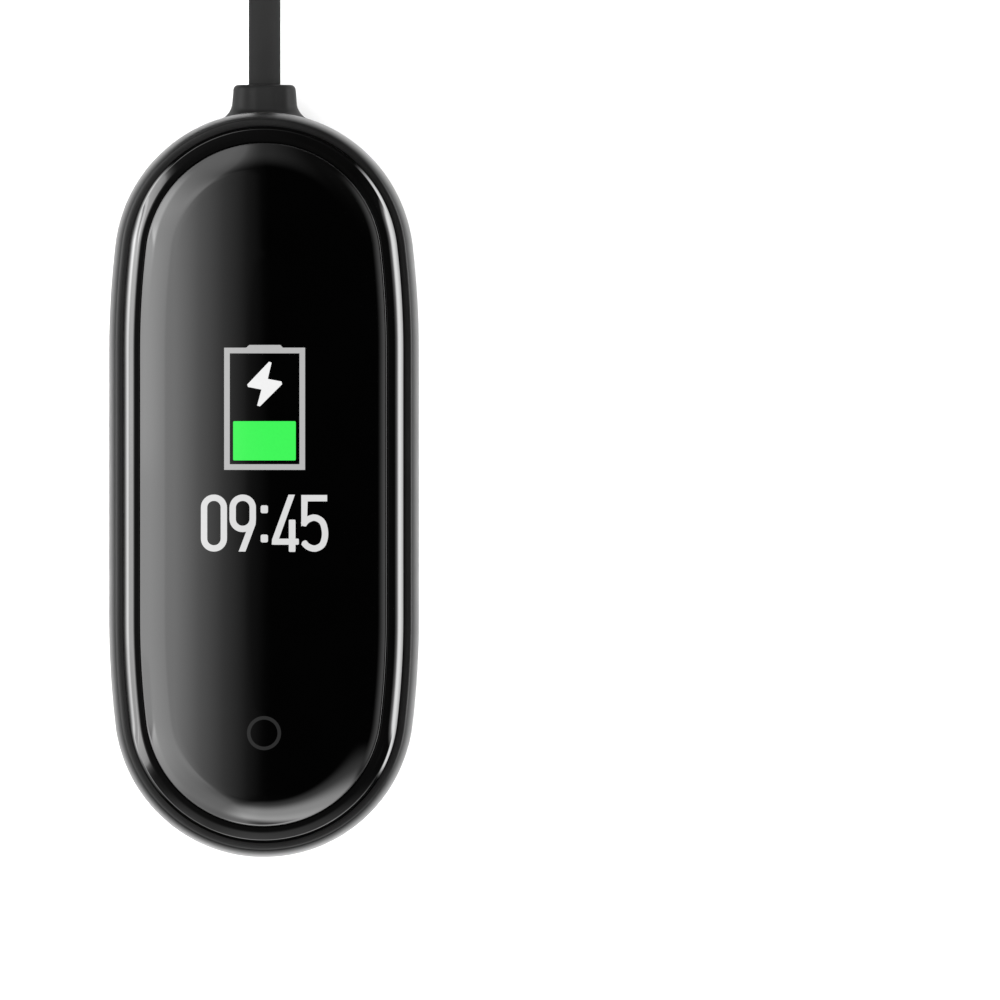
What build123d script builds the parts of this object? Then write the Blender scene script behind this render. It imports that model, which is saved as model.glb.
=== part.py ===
from build123d import *
import math
import os

# A fitness tracker capsule seated in its clip-in charging dock, with the dock's lead.
# Origin: centre of the dock's flat underside. +Z is up, out of the tracker's screen.
# +Y points to the end where the lead leaves. All sizes are in millimetres.

os.makedirs("parts", exist_ok=True)

# ---------------------------------------------------------------- driving dimensions
# Plan outline of the dock: straight sides, gentle flank arcs and round noses.
DOCK_HALF_WIDTH = 10.2
DOCK_HALF_LENGTH = 24.55
NOSE_RADIUS = 9.85
FLANK_RADIUS = 60.0

# Dock heights.
RIM_HEIGHT = 12.0
FLOOR_HEIGHT = 4.0
FLOOR_THICKNESS = 0.8
COVER_THICKNESS = 1.0
FOOT_ROUND = 0.6
RIM_SHOULDER_WIDTH = 0.42
RIM_SHOULDER_DROP = 1.7
RIM_ROUND = 0.16

# Every plan outline below is the dock's outline moved inwards by one of these insets.
RIM_INSET = 0.97
BAY_INSET = 1.6
COVER_SEAT_INSET = 1.0
RIDGE_INSET = 1.05
GROOVE_INSET = 2.4
INSIDE_INSET = 3.2
GLASS_SEAT_INSET = 2.05
FIT_GAP = 0.05
SLIP_GAP = 0.02

# The cavity and the capsule's hull both widen upwards: (height, inset) of each section.
CAVITY_SECTIONS = [(FLOOR_HEIGHT, 3.2), (5.0, 2.3), (6.6, 1.6), (8.4, 1.15), (9.4, RIM_INSET)]
HULL_SECTIONS = [(FLOOR_HEIGHT, 3.6), (5.0, 2.65), (6.4, 2.05), (8.4, 1.85)]

# Retaining tabs on the two long walls.
TAB_Y = -9.05
TAB_FACE_X = 8.5
TAB_ROOT_X = 9.6
TAB_HALF_LENGTH = 2.65
TAB_BOTTOM = 7.6
TAB_TOP = 9.7

# Oval pocket in the cavity floor that clears the capsule's sensor bump.
POCKET_LENGTH = 19.0
POCKET_WIDTH = 10.2
POCKET_DEPTH = 1.0
POCKET_SLOPE = 1.2
POCKET_WALL = 0.7

# Lead, its neck on the dock and its grommet.
LEAD_DIAMETER = 2.1
LEAD_HEIGHT = 3.1
LEAD_FLOOR_HEIGHT = 1.1
LEAD_INNER_END = 22.8
NECK_TIP_Y = 26.42
NECK_ROOT_Y = 22.95
NECK_WIDTH = 4.06
NECK_HEIGHT = 3.6
NECK_ROUND = 1.1
NECK_TAPER = 5.0
NECK_BLEND = 0.6
NECK_TIP_ROUND = 0.3
EDGE_MARGIN = 0.5
NOSE_MARGIN = 1.2
GROMMET_RADIUS = 1.35
GROMMET_FLANGE_RADIUS = 1.8
CHAMBER_OUTER_Y = 23.6

# Spring contacts of the dock and the pads on the capsule that they touch.
CONTACT_Y = -17.35
CONTACT_PITCH = 3.37
BLOCK_LENGTH = 6.45
BLOCK_WIDTH = 3.05
BLOCK_TOP = 4.25
BLOCK_FOOT_TOP = 3.1
BLOCK_FOOT_LENGTH = 7.65
BLOCK_FOOT_WIDTH = 4.05
BLOCK_CHAMFER = 0.3
BOARD_BOTTOM = 1.3
BOARD_TOP = 1.9
BARREL_RADIUS = 0.625
BARREL_FLANGE_RADIUS = 0.725
BARREL_FLANGE_BOTTOM = 4.1
BARREL_TOP = 4.3
BARREL_BORE = 0.5
BARREL_MOUTH = 0.435
BARREL_FLOOR = 2.1
TAIL_RADIUS = 0.3
TAIL_BOTTOM = 1.15
PIN_RADIUS = 0.39
PIN_COLLAR_RADIUS = 0.46
PIN_COLLAR_BOTTOM = 3.88
PIN_TIP = 4.86
PIN_TIP_ROUND = 0.28
SPRING_WIRE_RADIUS = 0.06
SPRING_RADIUS = 0.36
SPRING_TURNS = 6
PAD_FACE = 4.9
PAD_RADIUS = 1.2
PAD_THICKNESS = 0.3
PAD_STEM_RADIUS = 0.6
PAD_STEM_LENGTH = 1.0

# Underside panel line, and the two seats that carry the charging board.
PANEL_LENGTH = 26.0
PANEL_WIDTH = 9.6
PANEL_LINE_WIDTH = 0.3
PANEL_LINE_DEPTH = 0.15
BOARD_SEAT_LENGTH = 4.5
BOARD_SEAT_WIDTH = 1.2
BOARD_SEAT_REACH = 3.0

# Charging board, the small parts on it and the two wires that reach it.
CHARGE_BOARD_INSET = BAY_INSET + 0.8
CHARGE_BOARD_END_Y = CONTACT_Y + 5.0
BOARD_PART_Y = CONTACT_Y + 3.4
BOARD_PART_LENGTH = 0.9
WIRE_RADIUS = 0.35
WIRE_BEND = 1.0
WIRE_START_X = 0.42
WIRE_START_HEIGHT = 2.8
WIRE_LOW_HEIGHT = 1.6
WIRE_END_X = 1.2
WIRE_END_HEIGHT = 2.27

# Capsule heights.
GROOVE_BOTTOM = 8.4
RIDGE_BOTTOM = 10.0
HOUSING_TOP = 14.5
SHOULDER_ROUND = 0.55
INSIDE_FLOOR = 5.0
RECESS_MARGIN = 0.95
BOSS_MARGIN = 1.95
BOSS_HEIGHT = 0.8
GASKET_BOTTOM = 14.0
GLASS_BOTTOM = 14.2
GLASS_TOP = 15.4
GLASS_ROUND = 0.85
GASKET_OUTER_INSET = 2.15
GASKET_INNER_INSET = 3.0

# Sensor bump under the capsule.
BUMP_BOTTOM = 3.2
BUMP_LENGTH = 18.0
BUMP_WIDTH = 9.2
BUMP_SLOPE = 1.0
WINDOW_LENGTH = 14.0
WINDOW_WIDTH = 5.2
WINDOW_LEDGE = 4.0
WINDOW_FLANGE_TOP = 4.4
WINDOW_FLANGE_LENGTH = 15.0
WINDOW_FLANGE_WIDTH = 6.5
SENSOR_BAY_LENGTH = 15.5
SENSOR_BAY_WIDTH = 7.0
SENSOR_BOARD_LENGTH = 15.2
SENSOR_BOARD_WIDTH = 6.7
SENSOR_BOARD_BOTTOM = 4.9
SENSOR_BOARD_TOP = 5.5
LED_Y = 4.2
LED_WIDTH = 1.6
LED_LENGTH = 1.0
PHOTODIODE_WIDTH = 2.6
PHOTODIODE_LENGTH = 2.2

# Inner frame, boards, battery, display and vibration motor of the capsule.
FRAME_OUTER_INSET = 3.35
FRAME_INNER_INSET = 4.15
FRAME_BOTTOM = 5.1
FRAME_PLATE_BOTTOM = 10.0
FLEX_SLOT_WIDTH = 4.0
FLEX_SLOT_LENGTH = 0.8
MAIN_BOARD_BOTTOM = 10.5
MAIN_BOARD_TOP = 11.3
DISPLAY_BOTTOM = 13.3
DISPLAY_WIDTH = 13.0
DISPLAY_LENGTH = 26.0
DISPLAY_Y = 2.3
DISPLAY_CORNER_RADIUS = 0.6
TOUCH_Y = -16.3
TOUCH_RADIUS = 2.0
MOTOR_Y = -15.6
MOTOR_RADIUS = 4.0
MOTOR_BOTTOM = 7.2
MOTOR_WALL = 0.25
SHAFT_RADIUS = 0.4
MOTOR_BASE_THICKNESS = 0.3
ROTOR_BORE = 0.45
ROTOR_GAP = 0.25
ROTOR_RADIUS = 3.3
ROTOR_THICKNESS = 1.3
ROTOR_SPAN = 7.0
ROTOR_REACH = 3.5
HUB_RADIUS = 1.1
HUB_HEIGHT = 1.7
FLEX_THICKNESS = 0.15
SENSOR_FLEX_Y = -11.2
SENSOR_FLEX_START_Y = -6.0
SENSOR_FLEX_WIDTH = 3.0
DISPLAY_FLEX_WIDTH = 5.0
DISPLAY_FLEX_START_Y = -8.5
DISPLAY_FLEX_BEND_Y = -13.3
DISPLAY_FLEX_LANDING_Y = -14.1
DISPLAY_FLEX_END_Y = -15.4
CONNECTOR_Y = -14.5
CONNECTOR_WIDTH = 6.0
CONNECTOR_LENGTH = 2.2
CONNECTOR_HEIGHT = 0.8
SHIELD_Y = 8.0
SHIELD_WIDTH = 9.4
SHIELD_LENGTH = 10.6
SHIELD_HEIGHT = 1.4
SHIELD_WALL = 0.2
BATTERY_Y = 2.4
BATTERY_WIDTH = 11.0
BATTERY_LENGTH = 26.2
BATTERY_THICKNESS = 4.1
BATTERY_LIFT = 0.2
BATTERY_CORNER_RADIUS = 1.0
BATTERY_ROUND = 0.5

# Put-away coil of the lead, and the plug on its far end.
COIL_RADIUS = 10.5
COIL_Y = 45.6
COIL_LAYER = 2.2
COIL_BOTTOM = 0.05
TIE_WIDTH = 2.4
TIE_THICKNESS = 0.33
PLUG_HEIGHT = 3.8
BOOT_Y = 57.6
BODY_Y = 62.6
BODY_LENGTH = 17.0
BODY_WIDTH = 15.5
BODY_THICKNESS = 7.6
USB_WIDTH = 12.0
USB_THICKNESS = 4.5
USB_WALL = 0.3
USB_SEAT = 4.0
USB_REACH = 12.0
TONGUE_THICKNESS = 1.9
TONGUE_SIDE_GAP = 0.05
TONGUE_END_GAP = 0.9
TONGUE_ROOT_LENGTH = 3.2
TONGUE_TIP_ROUND = 0.3
CONTACT_WIDTH = 1.0
CONTACT_THICKNESS = 0.12
BODY_CORNER_RADIUS = 2.2
BODY_BACK_ROUND = 2.0
BODY_FRONT_ROUND = 0.5
BOOT_ROOT_RADIUS = 2.9
BOOT_TIP_RADIUS = 1.75
BOOT_OVERLAP = 0.4
BOOT_GROOVES = 3
BOOT_GROOVE_START = 1.0
BOOT_GROOVE_PITCH = 1.3
BOOT_GROOVE_WIDTH = 0.45
BOOT_GROOVE_RADIUS = 1.6
BOOT_GROOVE_GROWTH = 0.27
LEAD_SEAT_DEPTH = 2.4
DISH_LENGTH = 7.0
DISH_WIDTH = 9.0
DISH_DEPTH = 0.25
DISH_Y = BODY_Y + 8.0
USB_CORNER_RADIUS = 0.45
LATCH_X = 2.6
LATCH_Y = 9.2
LATCH_WIDTH = 2.3
LATCH_LENGTH = 2.0


# ---------------------------------------------------------------- shared shapes
def boat(inset):
    """The dock's plan outline, moved inwards by inset."""
    half_width = DOCK_HALF_WIDTH - inset
    nose = NOSE_RADIUS - inset
    flank = FLANK_RADIUS - inset
    nose_y = DOCK_HALF_LENGTH - NOSE_RADIUS
    flank_x = FLANK_RADIUS - DOCK_HALF_WIDTH
    reach = math.sqrt((flank - nose) ** 2 - flank_x**2)
    flank_y = nose_y - reach
    swing = math.degrees(math.atan2(reach, flank_x))
    with BuildSketch() as plan:
        with BuildLine():
            Line((half_width, -flank_y), (half_width, flank_y))
            CenterArc((-flank_x, flank_y), flank, 0, swing)
            CenterArc((0, nose_y), nose, swing, 180 - 2 * swing)
            CenterArc((flank_x, flank_y), flank, 180 - swing, swing)
            Line((-half_width, flank_y), (-half_width, -flank_y))
            CenterArc((flank_x, -flank_y), flank, 180, swing)
            CenterArc((0, -nose_y), nose, 180 + swing, 180 - 2 * swing)
            CenterArc((-flank_x, -flank_y), flank, 360 - swing, swing)
        make_face()
    return plan.sketch


def turned(*half_section):
    """A round solid about Z, from its half section as (radius, height) points."""
    with BuildPart() as piece:
        with BuildSketch(Plane.XZ):
            with BuildLine():
                Polyline(*half_section, close=True)
            make_face()
        revolve(axis=Axis.Z)
    return piece.part


def round_bar(path, radius):
    """A round bar swept along a path."""
    with BuildPart() as bar:
        with BuildSketch(Plane(path @ 0, z_dir=path % 0)):
            Circle(radius)
        sweep(path=path)
    return bar.part


def route_radii(points):
    """The largest arc that each corner of a route has room for."""
    radii = []
    for before, corner, after in zip(points, points[1:], points[2:]):
        first = Vector(*corner) - Vector(*before)
        second = Vector(*after) - Vector(*corner)
        half_turn = math.radians(first.get_angle(second) / 2)
        radii.append(0.45 * min(first.length, second.length) / math.tan(half_turn))
    return radii


def lead_tube(name, points):
    """A stretch of the lead: straight runs joined by tangent arcs."""
    radii = route_radii(points)
    with BuildLine() as route:
        FilletPolyline(*points, radius=radii)
    tube = round_bar(route.wire(), LEAD_DIAMETER / 2)
    expected = math.pi * (LEAD_DIAMETER / 2) ** 2 * route.wire().length
    print(name, "arc radii", [round(radius, 1) for radius in radii])
    print(name, "volume", round(tube.volume, 2), "section times length", round(expected, 2))
    return tube


def save(piece, name):
    """Label a finished piece and write it."""
    piece.label = name
    export_step(piece, f"parts/{name}.step")


CONTACT_POINTS = [(-CONTACT_PITCH / 2, CONTACT_Y), (CONTACT_PITCH / 2, CONTACT_Y)]
NECK_BASE_Z = LEAD_HEIGHT - NECK_HEIGHT / 2


# ---------------------------------------------------------------- dock
with BuildPart() as dock_shell:
    with BuildSketch():
        add(boat(0))
    extrude(amount=RIM_HEIGHT)
    fillet(dock_shell.faces().sort_by(Axis.Z)[0].edges(), FOOT_ROUND)
    rim_face = dock_shell.faces().sort_by(Axis.Z)[-1]
    chamfer(rim_face.edges(), RIM_SHOULDER_WIDTH, RIM_SHOULDER_DROP, reference=rim_face)
    fillet(dock_shell.faces().sort_by(Axis.Z)[-1].edges(), RIM_ROUND)

    # Neck that the lead leaves through.
    with BuildSketch(Plane.XZ.offset(-NECK_TIP_Y)):
        with Locations((0, LEAD_HEIGHT)):
            RectangleRounded(NECK_WIDTH, NECK_HEIGHT, NECK_ROUND)
    extrude(amount=NECK_TIP_Y - NECK_ROOT_Y, taper=-NECK_TAPER)
    neck_edges = dock_shell.edges().filter_by(
        lambda edge: edge.center().Y > DOCK_HALF_LENGTH - NOSE_MARGIN
        and abs(edge.center().X) < NECK_WIDTH
        and NECK_BASE_Z - EDGE_MARGIN < edge.center().Z < NECK_BASE_Z + NECK_HEIGHT + EDGE_MARGIN
    )
    root_edges = neck_edges.filter_by(lambda edge: edge.bounding_box().max.Y < NECK_TIP_Y - EDGE_MARGIN)
    tip_edges = dock_shell.faces().sort_by(Axis.Y)[-1].edges()
    fillet(root_edges, NECK_BLEND)
    fillet(tip_edges, NECK_TIP_ROUND)

    # Cavity for the capsule.
    for height, inset in CAVITY_SECTIONS:
        with BuildSketch(Plane.XY.offset(height)):
            add(boat(inset))
    loft(mode=Mode.SUBTRACT)
    cavity_top = CAVITY_SECTIONS[-1][0]
    with BuildSketch(Plane.XY.offset(cavity_top)):
        add(boat(RIM_INSET))
    extrude(amount=RIM_HEIGHT - cavity_top, mode=Mode.SUBTRACT)

    # Retaining tabs, chamfered at both ends.
    with BuildSketch(Plane.XY.offset(TAB_BOTTOM)):
        with BuildLine():
            root_half = TAB_HALF_LENGTH + TAB_ROOT_X - TAB_FACE_X
            Polyline(
                (TAB_FACE_X, TAB_Y - TAB_HALF_LENGTH),
                (TAB_ROOT_X, TAB_Y - root_half),
                (TAB_ROOT_X, TAB_Y + root_half),
                (TAB_FACE_X, TAB_Y + TAB_HALF_LENGTH),
                close=True,
            )
        make_face()
        mirror(about=Plane.YZ)
    extrude(amount=TAB_TOP - TAB_BOTTOM)

    # Oval pocket for the sensor bump.
    for height, slope in ((FLOOR_HEIGHT, 0), (FLOOR_HEIGHT - POCKET_DEPTH, POCKET_SLOPE)):
        with BuildSketch(Plane.XY.offset(height)):
            SlotOverall(POCKET_LENGTH - 2 * slope, POCKET_WIDTH - 2 * slope, rotation=90)
    loft(mode=Mode.SUBTRACT)

    # Wiring bay, open below, with an island left under the pocket.
    with BuildSketch(Plane.XY.offset(COVER_THICKNESS)):
        add(boat(BAY_INSET))
    bay_ceiling = FLOOR_HEIGHT - FLOOR_THICKNESS
    pocket_underside = FLOOR_HEIGHT - POCKET_DEPTH - POCKET_WALL
    extrude(amount=pocket_underside - COVER_THICKNESS, mode=Mode.SUBTRACT)
    with BuildSketch(Plane.XY.offset(pocket_underside)):
        add(boat(BAY_INSET))
        SlotOverall(
            POCKET_LENGTH + 2 * POCKET_WALL,
            POCKET_WIDTH + 2 * POCKET_WALL,
            rotation=90,
            mode=Mode.SUBTRACT,
        )
    extrude(amount=bay_ceiling - pocket_underside, mode=Mode.SUBTRACT)
    with BuildSketch():
        add(boat(COVER_SEAT_INSET))
    extrude(amount=COVER_THICKNESS, mode=Mode.SUBTRACT)

    # Window in the floor for the contact block.
    with BuildSketch(Plane.XY.offset(bay_ceiling)):
        with Locations((0, CONTACT_Y)):
            SlotOverall(BLOCK_LENGTH + 2 * FIT_GAP, BLOCK_WIDTH + 2 * FIT_GAP)
    extrude(amount=FLOOR_THICKNESS, mode=Mode.SUBTRACT)

    # Chamber for the grommet's flange, and the bore of the neck.
    chamber_depth = CHAMBER_OUTER_Y - LEAD_INNER_END + FIT_GAP
    chamber_half = GROMMET_FLANGE_RADIUS + FIT_GAP
    with Locations((0, CHAMBER_OUTER_Y, COVER_THICKNESS)):
        Box(
            2 * chamber_half,
            chamber_depth,
            LEAD_HEIGHT + chamber_half - COVER_THICKNESS,
            align=(Align.CENTER, Align.MAX, Align.MIN),
            mode=Mode.SUBTRACT,
        )
    with BuildSketch(Plane.XZ.offset(-NECK_TIP_Y)):
        with Locations((0, LEAD_HEIGHT)):
            Circle(GROMMET_RADIUS + FIT_GAP)
    extrude(amount=NECK_TIP_Y - CHAMBER_OUTER_Y, mode=Mode.SUBTRACT)
save(dock_shell.part, "dock_shell")

with BuildPart() as dock_base_cover:
    with BuildSketch():
        add(boat(COVER_SEAT_INSET + FIT_GAP))
    extrude(amount=COVER_THICKNESS)
    # Blank panel outline cut into the underside.
    with BuildSketch():
        SlotOverall(PANEL_LENGTH, PANEL_WIDTH, rotation=90)
        SlotOverall(
            PANEL_LENGTH - 2 * PANEL_LINE_WIDTH,
            PANEL_WIDTH - 2 * PANEL_LINE_WIDTH,
            rotation=90,
            mode=Mode.SUBTRACT,
        )
    extrude(amount=PANEL_LINE_DEPTH, mode=Mode.SUBTRACT)
    # Two seats that carry the charging board.
    with BuildSketch(Plane.XY.offset(COVER_THICKNESS)):
        with Locations((0, CONTACT_Y + BOARD_SEAT_REACH), (0, CONTACT_Y - BOARD_SEAT_REACH)):
            Rectangle(BOARD_SEAT_LENGTH, BOARD_SEAT_WIDTH)
    extrude(amount=BOARD_BOTTOM - COVER_THICKNESS)
save(dock_base_cover.part, "dock_base_cover")

with BuildPart() as contact_block:
    with BuildSketch(Plane.XY.offset(BOARD_TOP)):
        with Locations((0, CONTACT_Y)):
            SlotOverall(BLOCK_FOOT_LENGTH, BLOCK_FOOT_WIDTH)
    extrude(amount=BLOCK_FOOT_TOP - BOARD_TOP)
    with BuildSketch(Plane.XY.offset(BLOCK_FOOT_TOP)):
        with Locations((0, CONTACT_Y)):
            SlotOverall(BLOCK_LENGTH, BLOCK_WIDTH)
    extrude(amount=BLOCK_TOP - BLOCK_FOOT_TOP)
    chamfer(contact_block.faces().sort_by(Axis.Z)[-1].edges(), BLOCK_CHAMFER)
    with Locations(*[(x, y, BLOCK_TOP) for x, y in CONTACT_POINTS]):
        CounterBoreHole(
            radius=BARREL_RADIUS + SLIP_GAP,
            counter_bore_radius=BARREL_FLANGE_RADIUS + SLIP_GAP,
            counter_bore_depth=BLOCK_TOP - BARREL_FLANGE_BOTTOM,
        )
save(contact_block.part, "contact_block")

barrel = turned(
    (0, TAIL_BOTTOM),
    (TAIL_RADIUS, TAIL_BOTTOM),
    (TAIL_RADIUS, BOARD_TOP),
    (BARREL_RADIUS, BOARD_TOP),
    (BARREL_RADIUS, BARREL_FLANGE_BOTTOM),
    (BARREL_FLANGE_RADIUS, BARREL_FLANGE_BOTTOM),
    (BARREL_FLANGE_RADIUS, BARREL_TOP),
    (BARREL_MOUTH, BARREL_TOP),
    (BARREL_MOUTH, BARREL_FLANGE_BOTTOM),
    (BARREL_BORE, BARREL_FLANGE_BOTTOM),
    (BARREL_BORE, BARREL_FLOOR),
    (0, BARREL_FLOOR),
)
with BuildPart() as pogo_barrels:
    with Locations(*CONTACT_POINTS):
        add(barrel)
save(pogo_barrels.part, "pogo_barrels")

spring_bottom = BARREL_FLOOR + SPRING_WIRE_RADIUS + SLIP_GAP
spring_height = PIN_COLLAR_BOTTOM - SPRING_WIRE_RADIUS - SLIP_GAP - spring_bottom
for side, (x, y) in zip(("left", "right"), CONTACT_POINTS):
    with BuildPart() as pogo_pin:
        with Locations((x, y, PIN_COLLAR_BOTTOM)):
            Cylinder(
                PIN_RADIUS,
                PIN_TIP - PIN_COLLAR_BOTTOM,
                align=(Align.CENTER, Align.CENTER, Align.MIN),
            )
            Cylinder(
                PIN_COLLAR_RADIUS,
                BARREL_FLANGE_BOTTOM - PIN_COLLAR_BOTTOM - SLIP_GAP,
                align=(Align.CENTER, Align.CENTER, Align.MIN),
            )
        fillet(pogo_pin.faces().sort_by(Axis.Z)[-1].edges(), PIN_TIP_ROUND)
    save(pogo_pin.part, f"pogo_pin_{side}")

    with BuildPart() as pogo_spring:
        with BuildLine(Plane((x, y, spring_bottom))) as coil_line:
            Helix(spring_height / SPRING_TURNS, spring_height, SPRING_RADIUS)
        start = coil_line.wire()
        with BuildSketch(Plane(start @ 0, z_dir=start % 0)):
            Circle(SPRING_WIRE_RADIUS)
        sweep(is_frenet=True)
    save(pogo_spring.part, f"pogo_spring_{side}")

with BuildPart() as charge_board:
    with BuildSketch(Plane.XY.offset(BOARD_BOTTOM)):
        add(boat(CHARGE_BOARD_INSET))
        with Locations((0, CHARGE_BOARD_END_Y)):
            Rectangle(
                2 * DOCK_HALF_WIDTH,
                2 * DOCK_HALF_LENGTH,
                align=(Align.CENTER, Align.MIN),
                mode=Mode.SUBTRACT,
            )
        with Locations(*CONTACT_POINTS):
            Circle(TAIL_RADIUS + SLIP_GAP, mode=Mode.SUBTRACT)
    extrude(amount=BOARD_TOP - BOARD_BOTTOM)
save(charge_board.part, "charge_board")

# Small parts on the charging board: (x, width, height).
BOARD_PARTS = [(-4.2, 1.6, 0.6), (4.2, 2.0, 0.75)]
with BuildPart() as charge_board_parts:
    for x, width, height in BOARD_PARTS:
        with Locations((x, BOARD_PART_Y, BOARD_TOP)):
            Box(width, BOARD_PART_LENGTH, height, align=(Align.CENTER, Align.CENTER, Align.MIN))
save(charge_board_parts.part, "charge_board_parts")

for side, name in ((1, "wire_positive"), (-1, "wire_negative")):
    with BuildLine() as wire_route:
        FilletPolyline(
            (WIRE_START_X * side, LEAD_INNER_END, WIRE_START_HEIGHT),
            (WIRE_START_X * side, LEAD_INNER_END - 1.4, WIRE_START_HEIGHT),
            (WIRE_START_X * side, LEAD_INNER_END - 4.4, WIRE_LOW_HEIGHT),
            (0.8 * side, CONTACT_Y + 7.0, WIRE_LOW_HEIGHT),
            (WIRE_END_X * side, CONTACT_Y + 5.4, WIRE_END_HEIGHT),
            (WIRE_END_X * side, CONTACT_Y + 3.8, WIRE_END_HEIGHT),
            radius=WIRE_BEND,
        )
    save(round_bar(wire_route.wire(), WIRE_RADIUS), name)

with BuildPart() as lead_grommet:
    with BuildSketch(Plane.XZ.offset(-LEAD_INNER_END)):
        with Locations((0, LEAD_HEIGHT)):
            Circle(GROMMET_FLANGE_RADIUS)
    extrude(amount=LEAD_INNER_END - CHAMBER_OUTER_Y)
    with BuildSketch(Plane.XZ.offset(-LEAD_INNER_END)):
        with Locations((0, LEAD_HEIGHT)):
            Circle(GROMMET_RADIUS)
    extrude(amount=LEAD_INNER_END - NECK_TIP_Y + FIT_GAP)
    with BuildSketch(Plane.XZ.offset(-LEAD_INNER_END)):
        with Locations((0, LEAD_HEIGHT)):
            Circle(LEAD_DIAMETER / 2 + SLIP_GAP)
    extrude(amount=LEAD_INNER_END - NECK_TIP_Y, mode=Mode.SUBTRACT)
save(lead_grommet.part, "lead_grommet")


# ---------------------------------------------------------------- lead, coil and plug
coil_exit_height = LEAD_FLOOR_HEIGHT + 2 * COIL_LAYER
LEAD_ROUTE = [
    (0, LEAD_INNER_END, LEAD_HEIGHT),
    (0, 31.4, LEAD_HEIGHT),
    (0, 40.4, LEAD_FLOOR_HEIGHT),
    (0, COIL_Y, LEAD_FLOOR_HEIGHT),
]
TAIL_ROUTE = [
    (0, COIL_Y, coil_exit_height),
    (0, COIL_Y + 4.5, coil_exit_height),
    (0, COIL_Y + 9.9, PLUG_HEIGHT),
    (0, BOOT_Y + LEAD_SEAT_DEPTH, PLUG_HEIGHT),
]
save(lead_tube("lead_cable", LEAD_ROUTE), "lead_cable")
save(lead_tube("lead_tail", TAIL_ROUTE), "lead_tail")

tie_x = -2 * COIL_RADIUS
turn_top = COIL_BOTTOM + LEAD_DIAMETER + COIL_LAYER
with BuildPart() as coil_tie:
    with BuildSketch(Plane.XZ.offset(-COIL_Y)):
        with Locations((tie_x, (turn_top + TIE_THICKNESS) / 2)):
            RectangleRounded(
                LEAD_DIAMETER + 2 * TIE_THICKNESS, turn_top + TIE_THICKNESS, TIE_THICKNESS
            )
        with Locations((tie_x, (turn_top + TIE_THICKNESS) / 2)):
            Rectangle(LEAD_DIAMETER, turn_top - TIE_THICKNESS, mode=Mode.SUBTRACT)
    extrude(amount=TIE_WIDTH / 2, both=True)
save(coil_tie.part, "coil_tie")

with BuildPart() as lead_coil:
    # Two layers of turns, and a third where the lead climbs over itself to leave.
    with BuildSketch(Plane.XY.offset(COIL_BOTTOM)):
        with Locations((-COIL_RADIUS, COIL_Y)):
            Circle(COIL_RADIUS + LEAD_DIAMETER / 2)
            Circle(COIL_RADIUS - LEAD_DIAMETER / 2, mode=Mode.SUBTRACT)
    extrude(amount=turn_top - COIL_BOTTOM)
    with BuildSketch(Plane.XY.offset(turn_top)):
        with Locations((-COIL_RADIUS, COIL_Y)):
            Circle(COIL_RADIUS + LEAD_DIAMETER / 2)
            Circle(COIL_RADIUS - LEAD_DIAMETER / 2, mode=Mode.SUBTRACT)
            Rectangle(
                COIL_RADIUS + LEAD_DIAMETER,
                COIL_RADIUS + LEAD_DIAMETER,
                align=(Align.MIN, Align.MAX),
                mode=Mode.INTERSECT,
            )
    extrude(amount=COIL_LAYER)
    add(coil_tie.part, mode=Mode.SUBTRACT)
    with Locations((tie_x, COIL_Y, 0)):
        Box(
            2 * LEAD_DIAMETER,
            TIE_WIDTH,
            TIE_THICKNESS,
            align=(Align.CENTER, Align.CENTER, Align.MIN),
            mode=Mode.SUBTRACT,
        )
save(lead_coil.part, "lead_coil")

with BuildPart() as plug_overmould:
    with BuildSketch(Plane.XZ.offset(-BODY_Y)):
        with Locations((0, PLUG_HEIGHT)):
            RectangleRounded(BODY_WIDTH, BODY_THICKNESS, BODY_CORNER_RADIUS)
    extrude(amount=-BODY_LENGTH)
    fillet(plug_overmould.faces().sort_by(Axis.Y)[0].edges(), BODY_BACK_ROUND)
    fillet(plug_overmould.faces().sort_by(Axis.Y)[-1].edges(), BODY_FRONT_ROUND)
    # Tapered boot with its grooves.
    for y, radius in ((BODY_Y + BOOT_OVERLAP, BOOT_ROOT_RADIUS), (BOOT_Y, BOOT_TIP_RADIUS)):
        with BuildSketch(Plane.XZ.offset(-y)):
            with Locations((0, PLUG_HEIGHT)):
                Circle(radius)
    loft()
    for step in range(BOOT_GROOVES):
        groove_y = BOOT_Y + BOOT_GROOVE_START + BOOT_GROOVE_PITCH * step
        with BuildSketch(Plane.XZ.offset(-groove_y)):
            with Locations((0, PLUG_HEIGHT)):
                Circle(BOOT_ROOT_RADIUS + BOOT_OVERLAP)
                Circle(BOOT_GROOVE_RADIUS + BOOT_GROOVE_GROWTH * step, mode=Mode.SUBTRACT)
        extrude(amount=-BOOT_GROOVE_WIDTH, mode=Mode.SUBTRACT)
    # Bore for the lead and seat for the metal shell.
    with BuildSketch(Plane.XZ.offset(-BOOT_Y)):
        with Locations((0, PLUG_HEIGHT)):
            Circle(LEAD_DIAMETER / 2 + SLIP_GAP)
    extrude(amount=-LEAD_SEAT_DEPTH, mode=Mode.SUBTRACT)
    with Locations((0, BODY_Y + BODY_LENGTH, PLUG_HEIGHT)):
        Box(
            USB_WIDTH + SLIP_GAP,
            USB_SEAT,
            USB_THICKNESS + SLIP_GAP,
            align=(Align.CENTER, Align.MAX, Align.CENTER),
            mode=Mode.SUBTRACT,
        )
    # Shallow finger dishes on the two broad faces.
    for side in (1, -1):
        with Locations((0, DISH_Y, PLUG_HEIGHT + side * BODY_THICKNESS / 2)):
            Box(DISH_WIDTH, DISH_LENGTH, 2 * DISH_DEPTH, mode=Mode.SUBTRACT)
save(plug_overmould.part, "plug_overmould")

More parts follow.
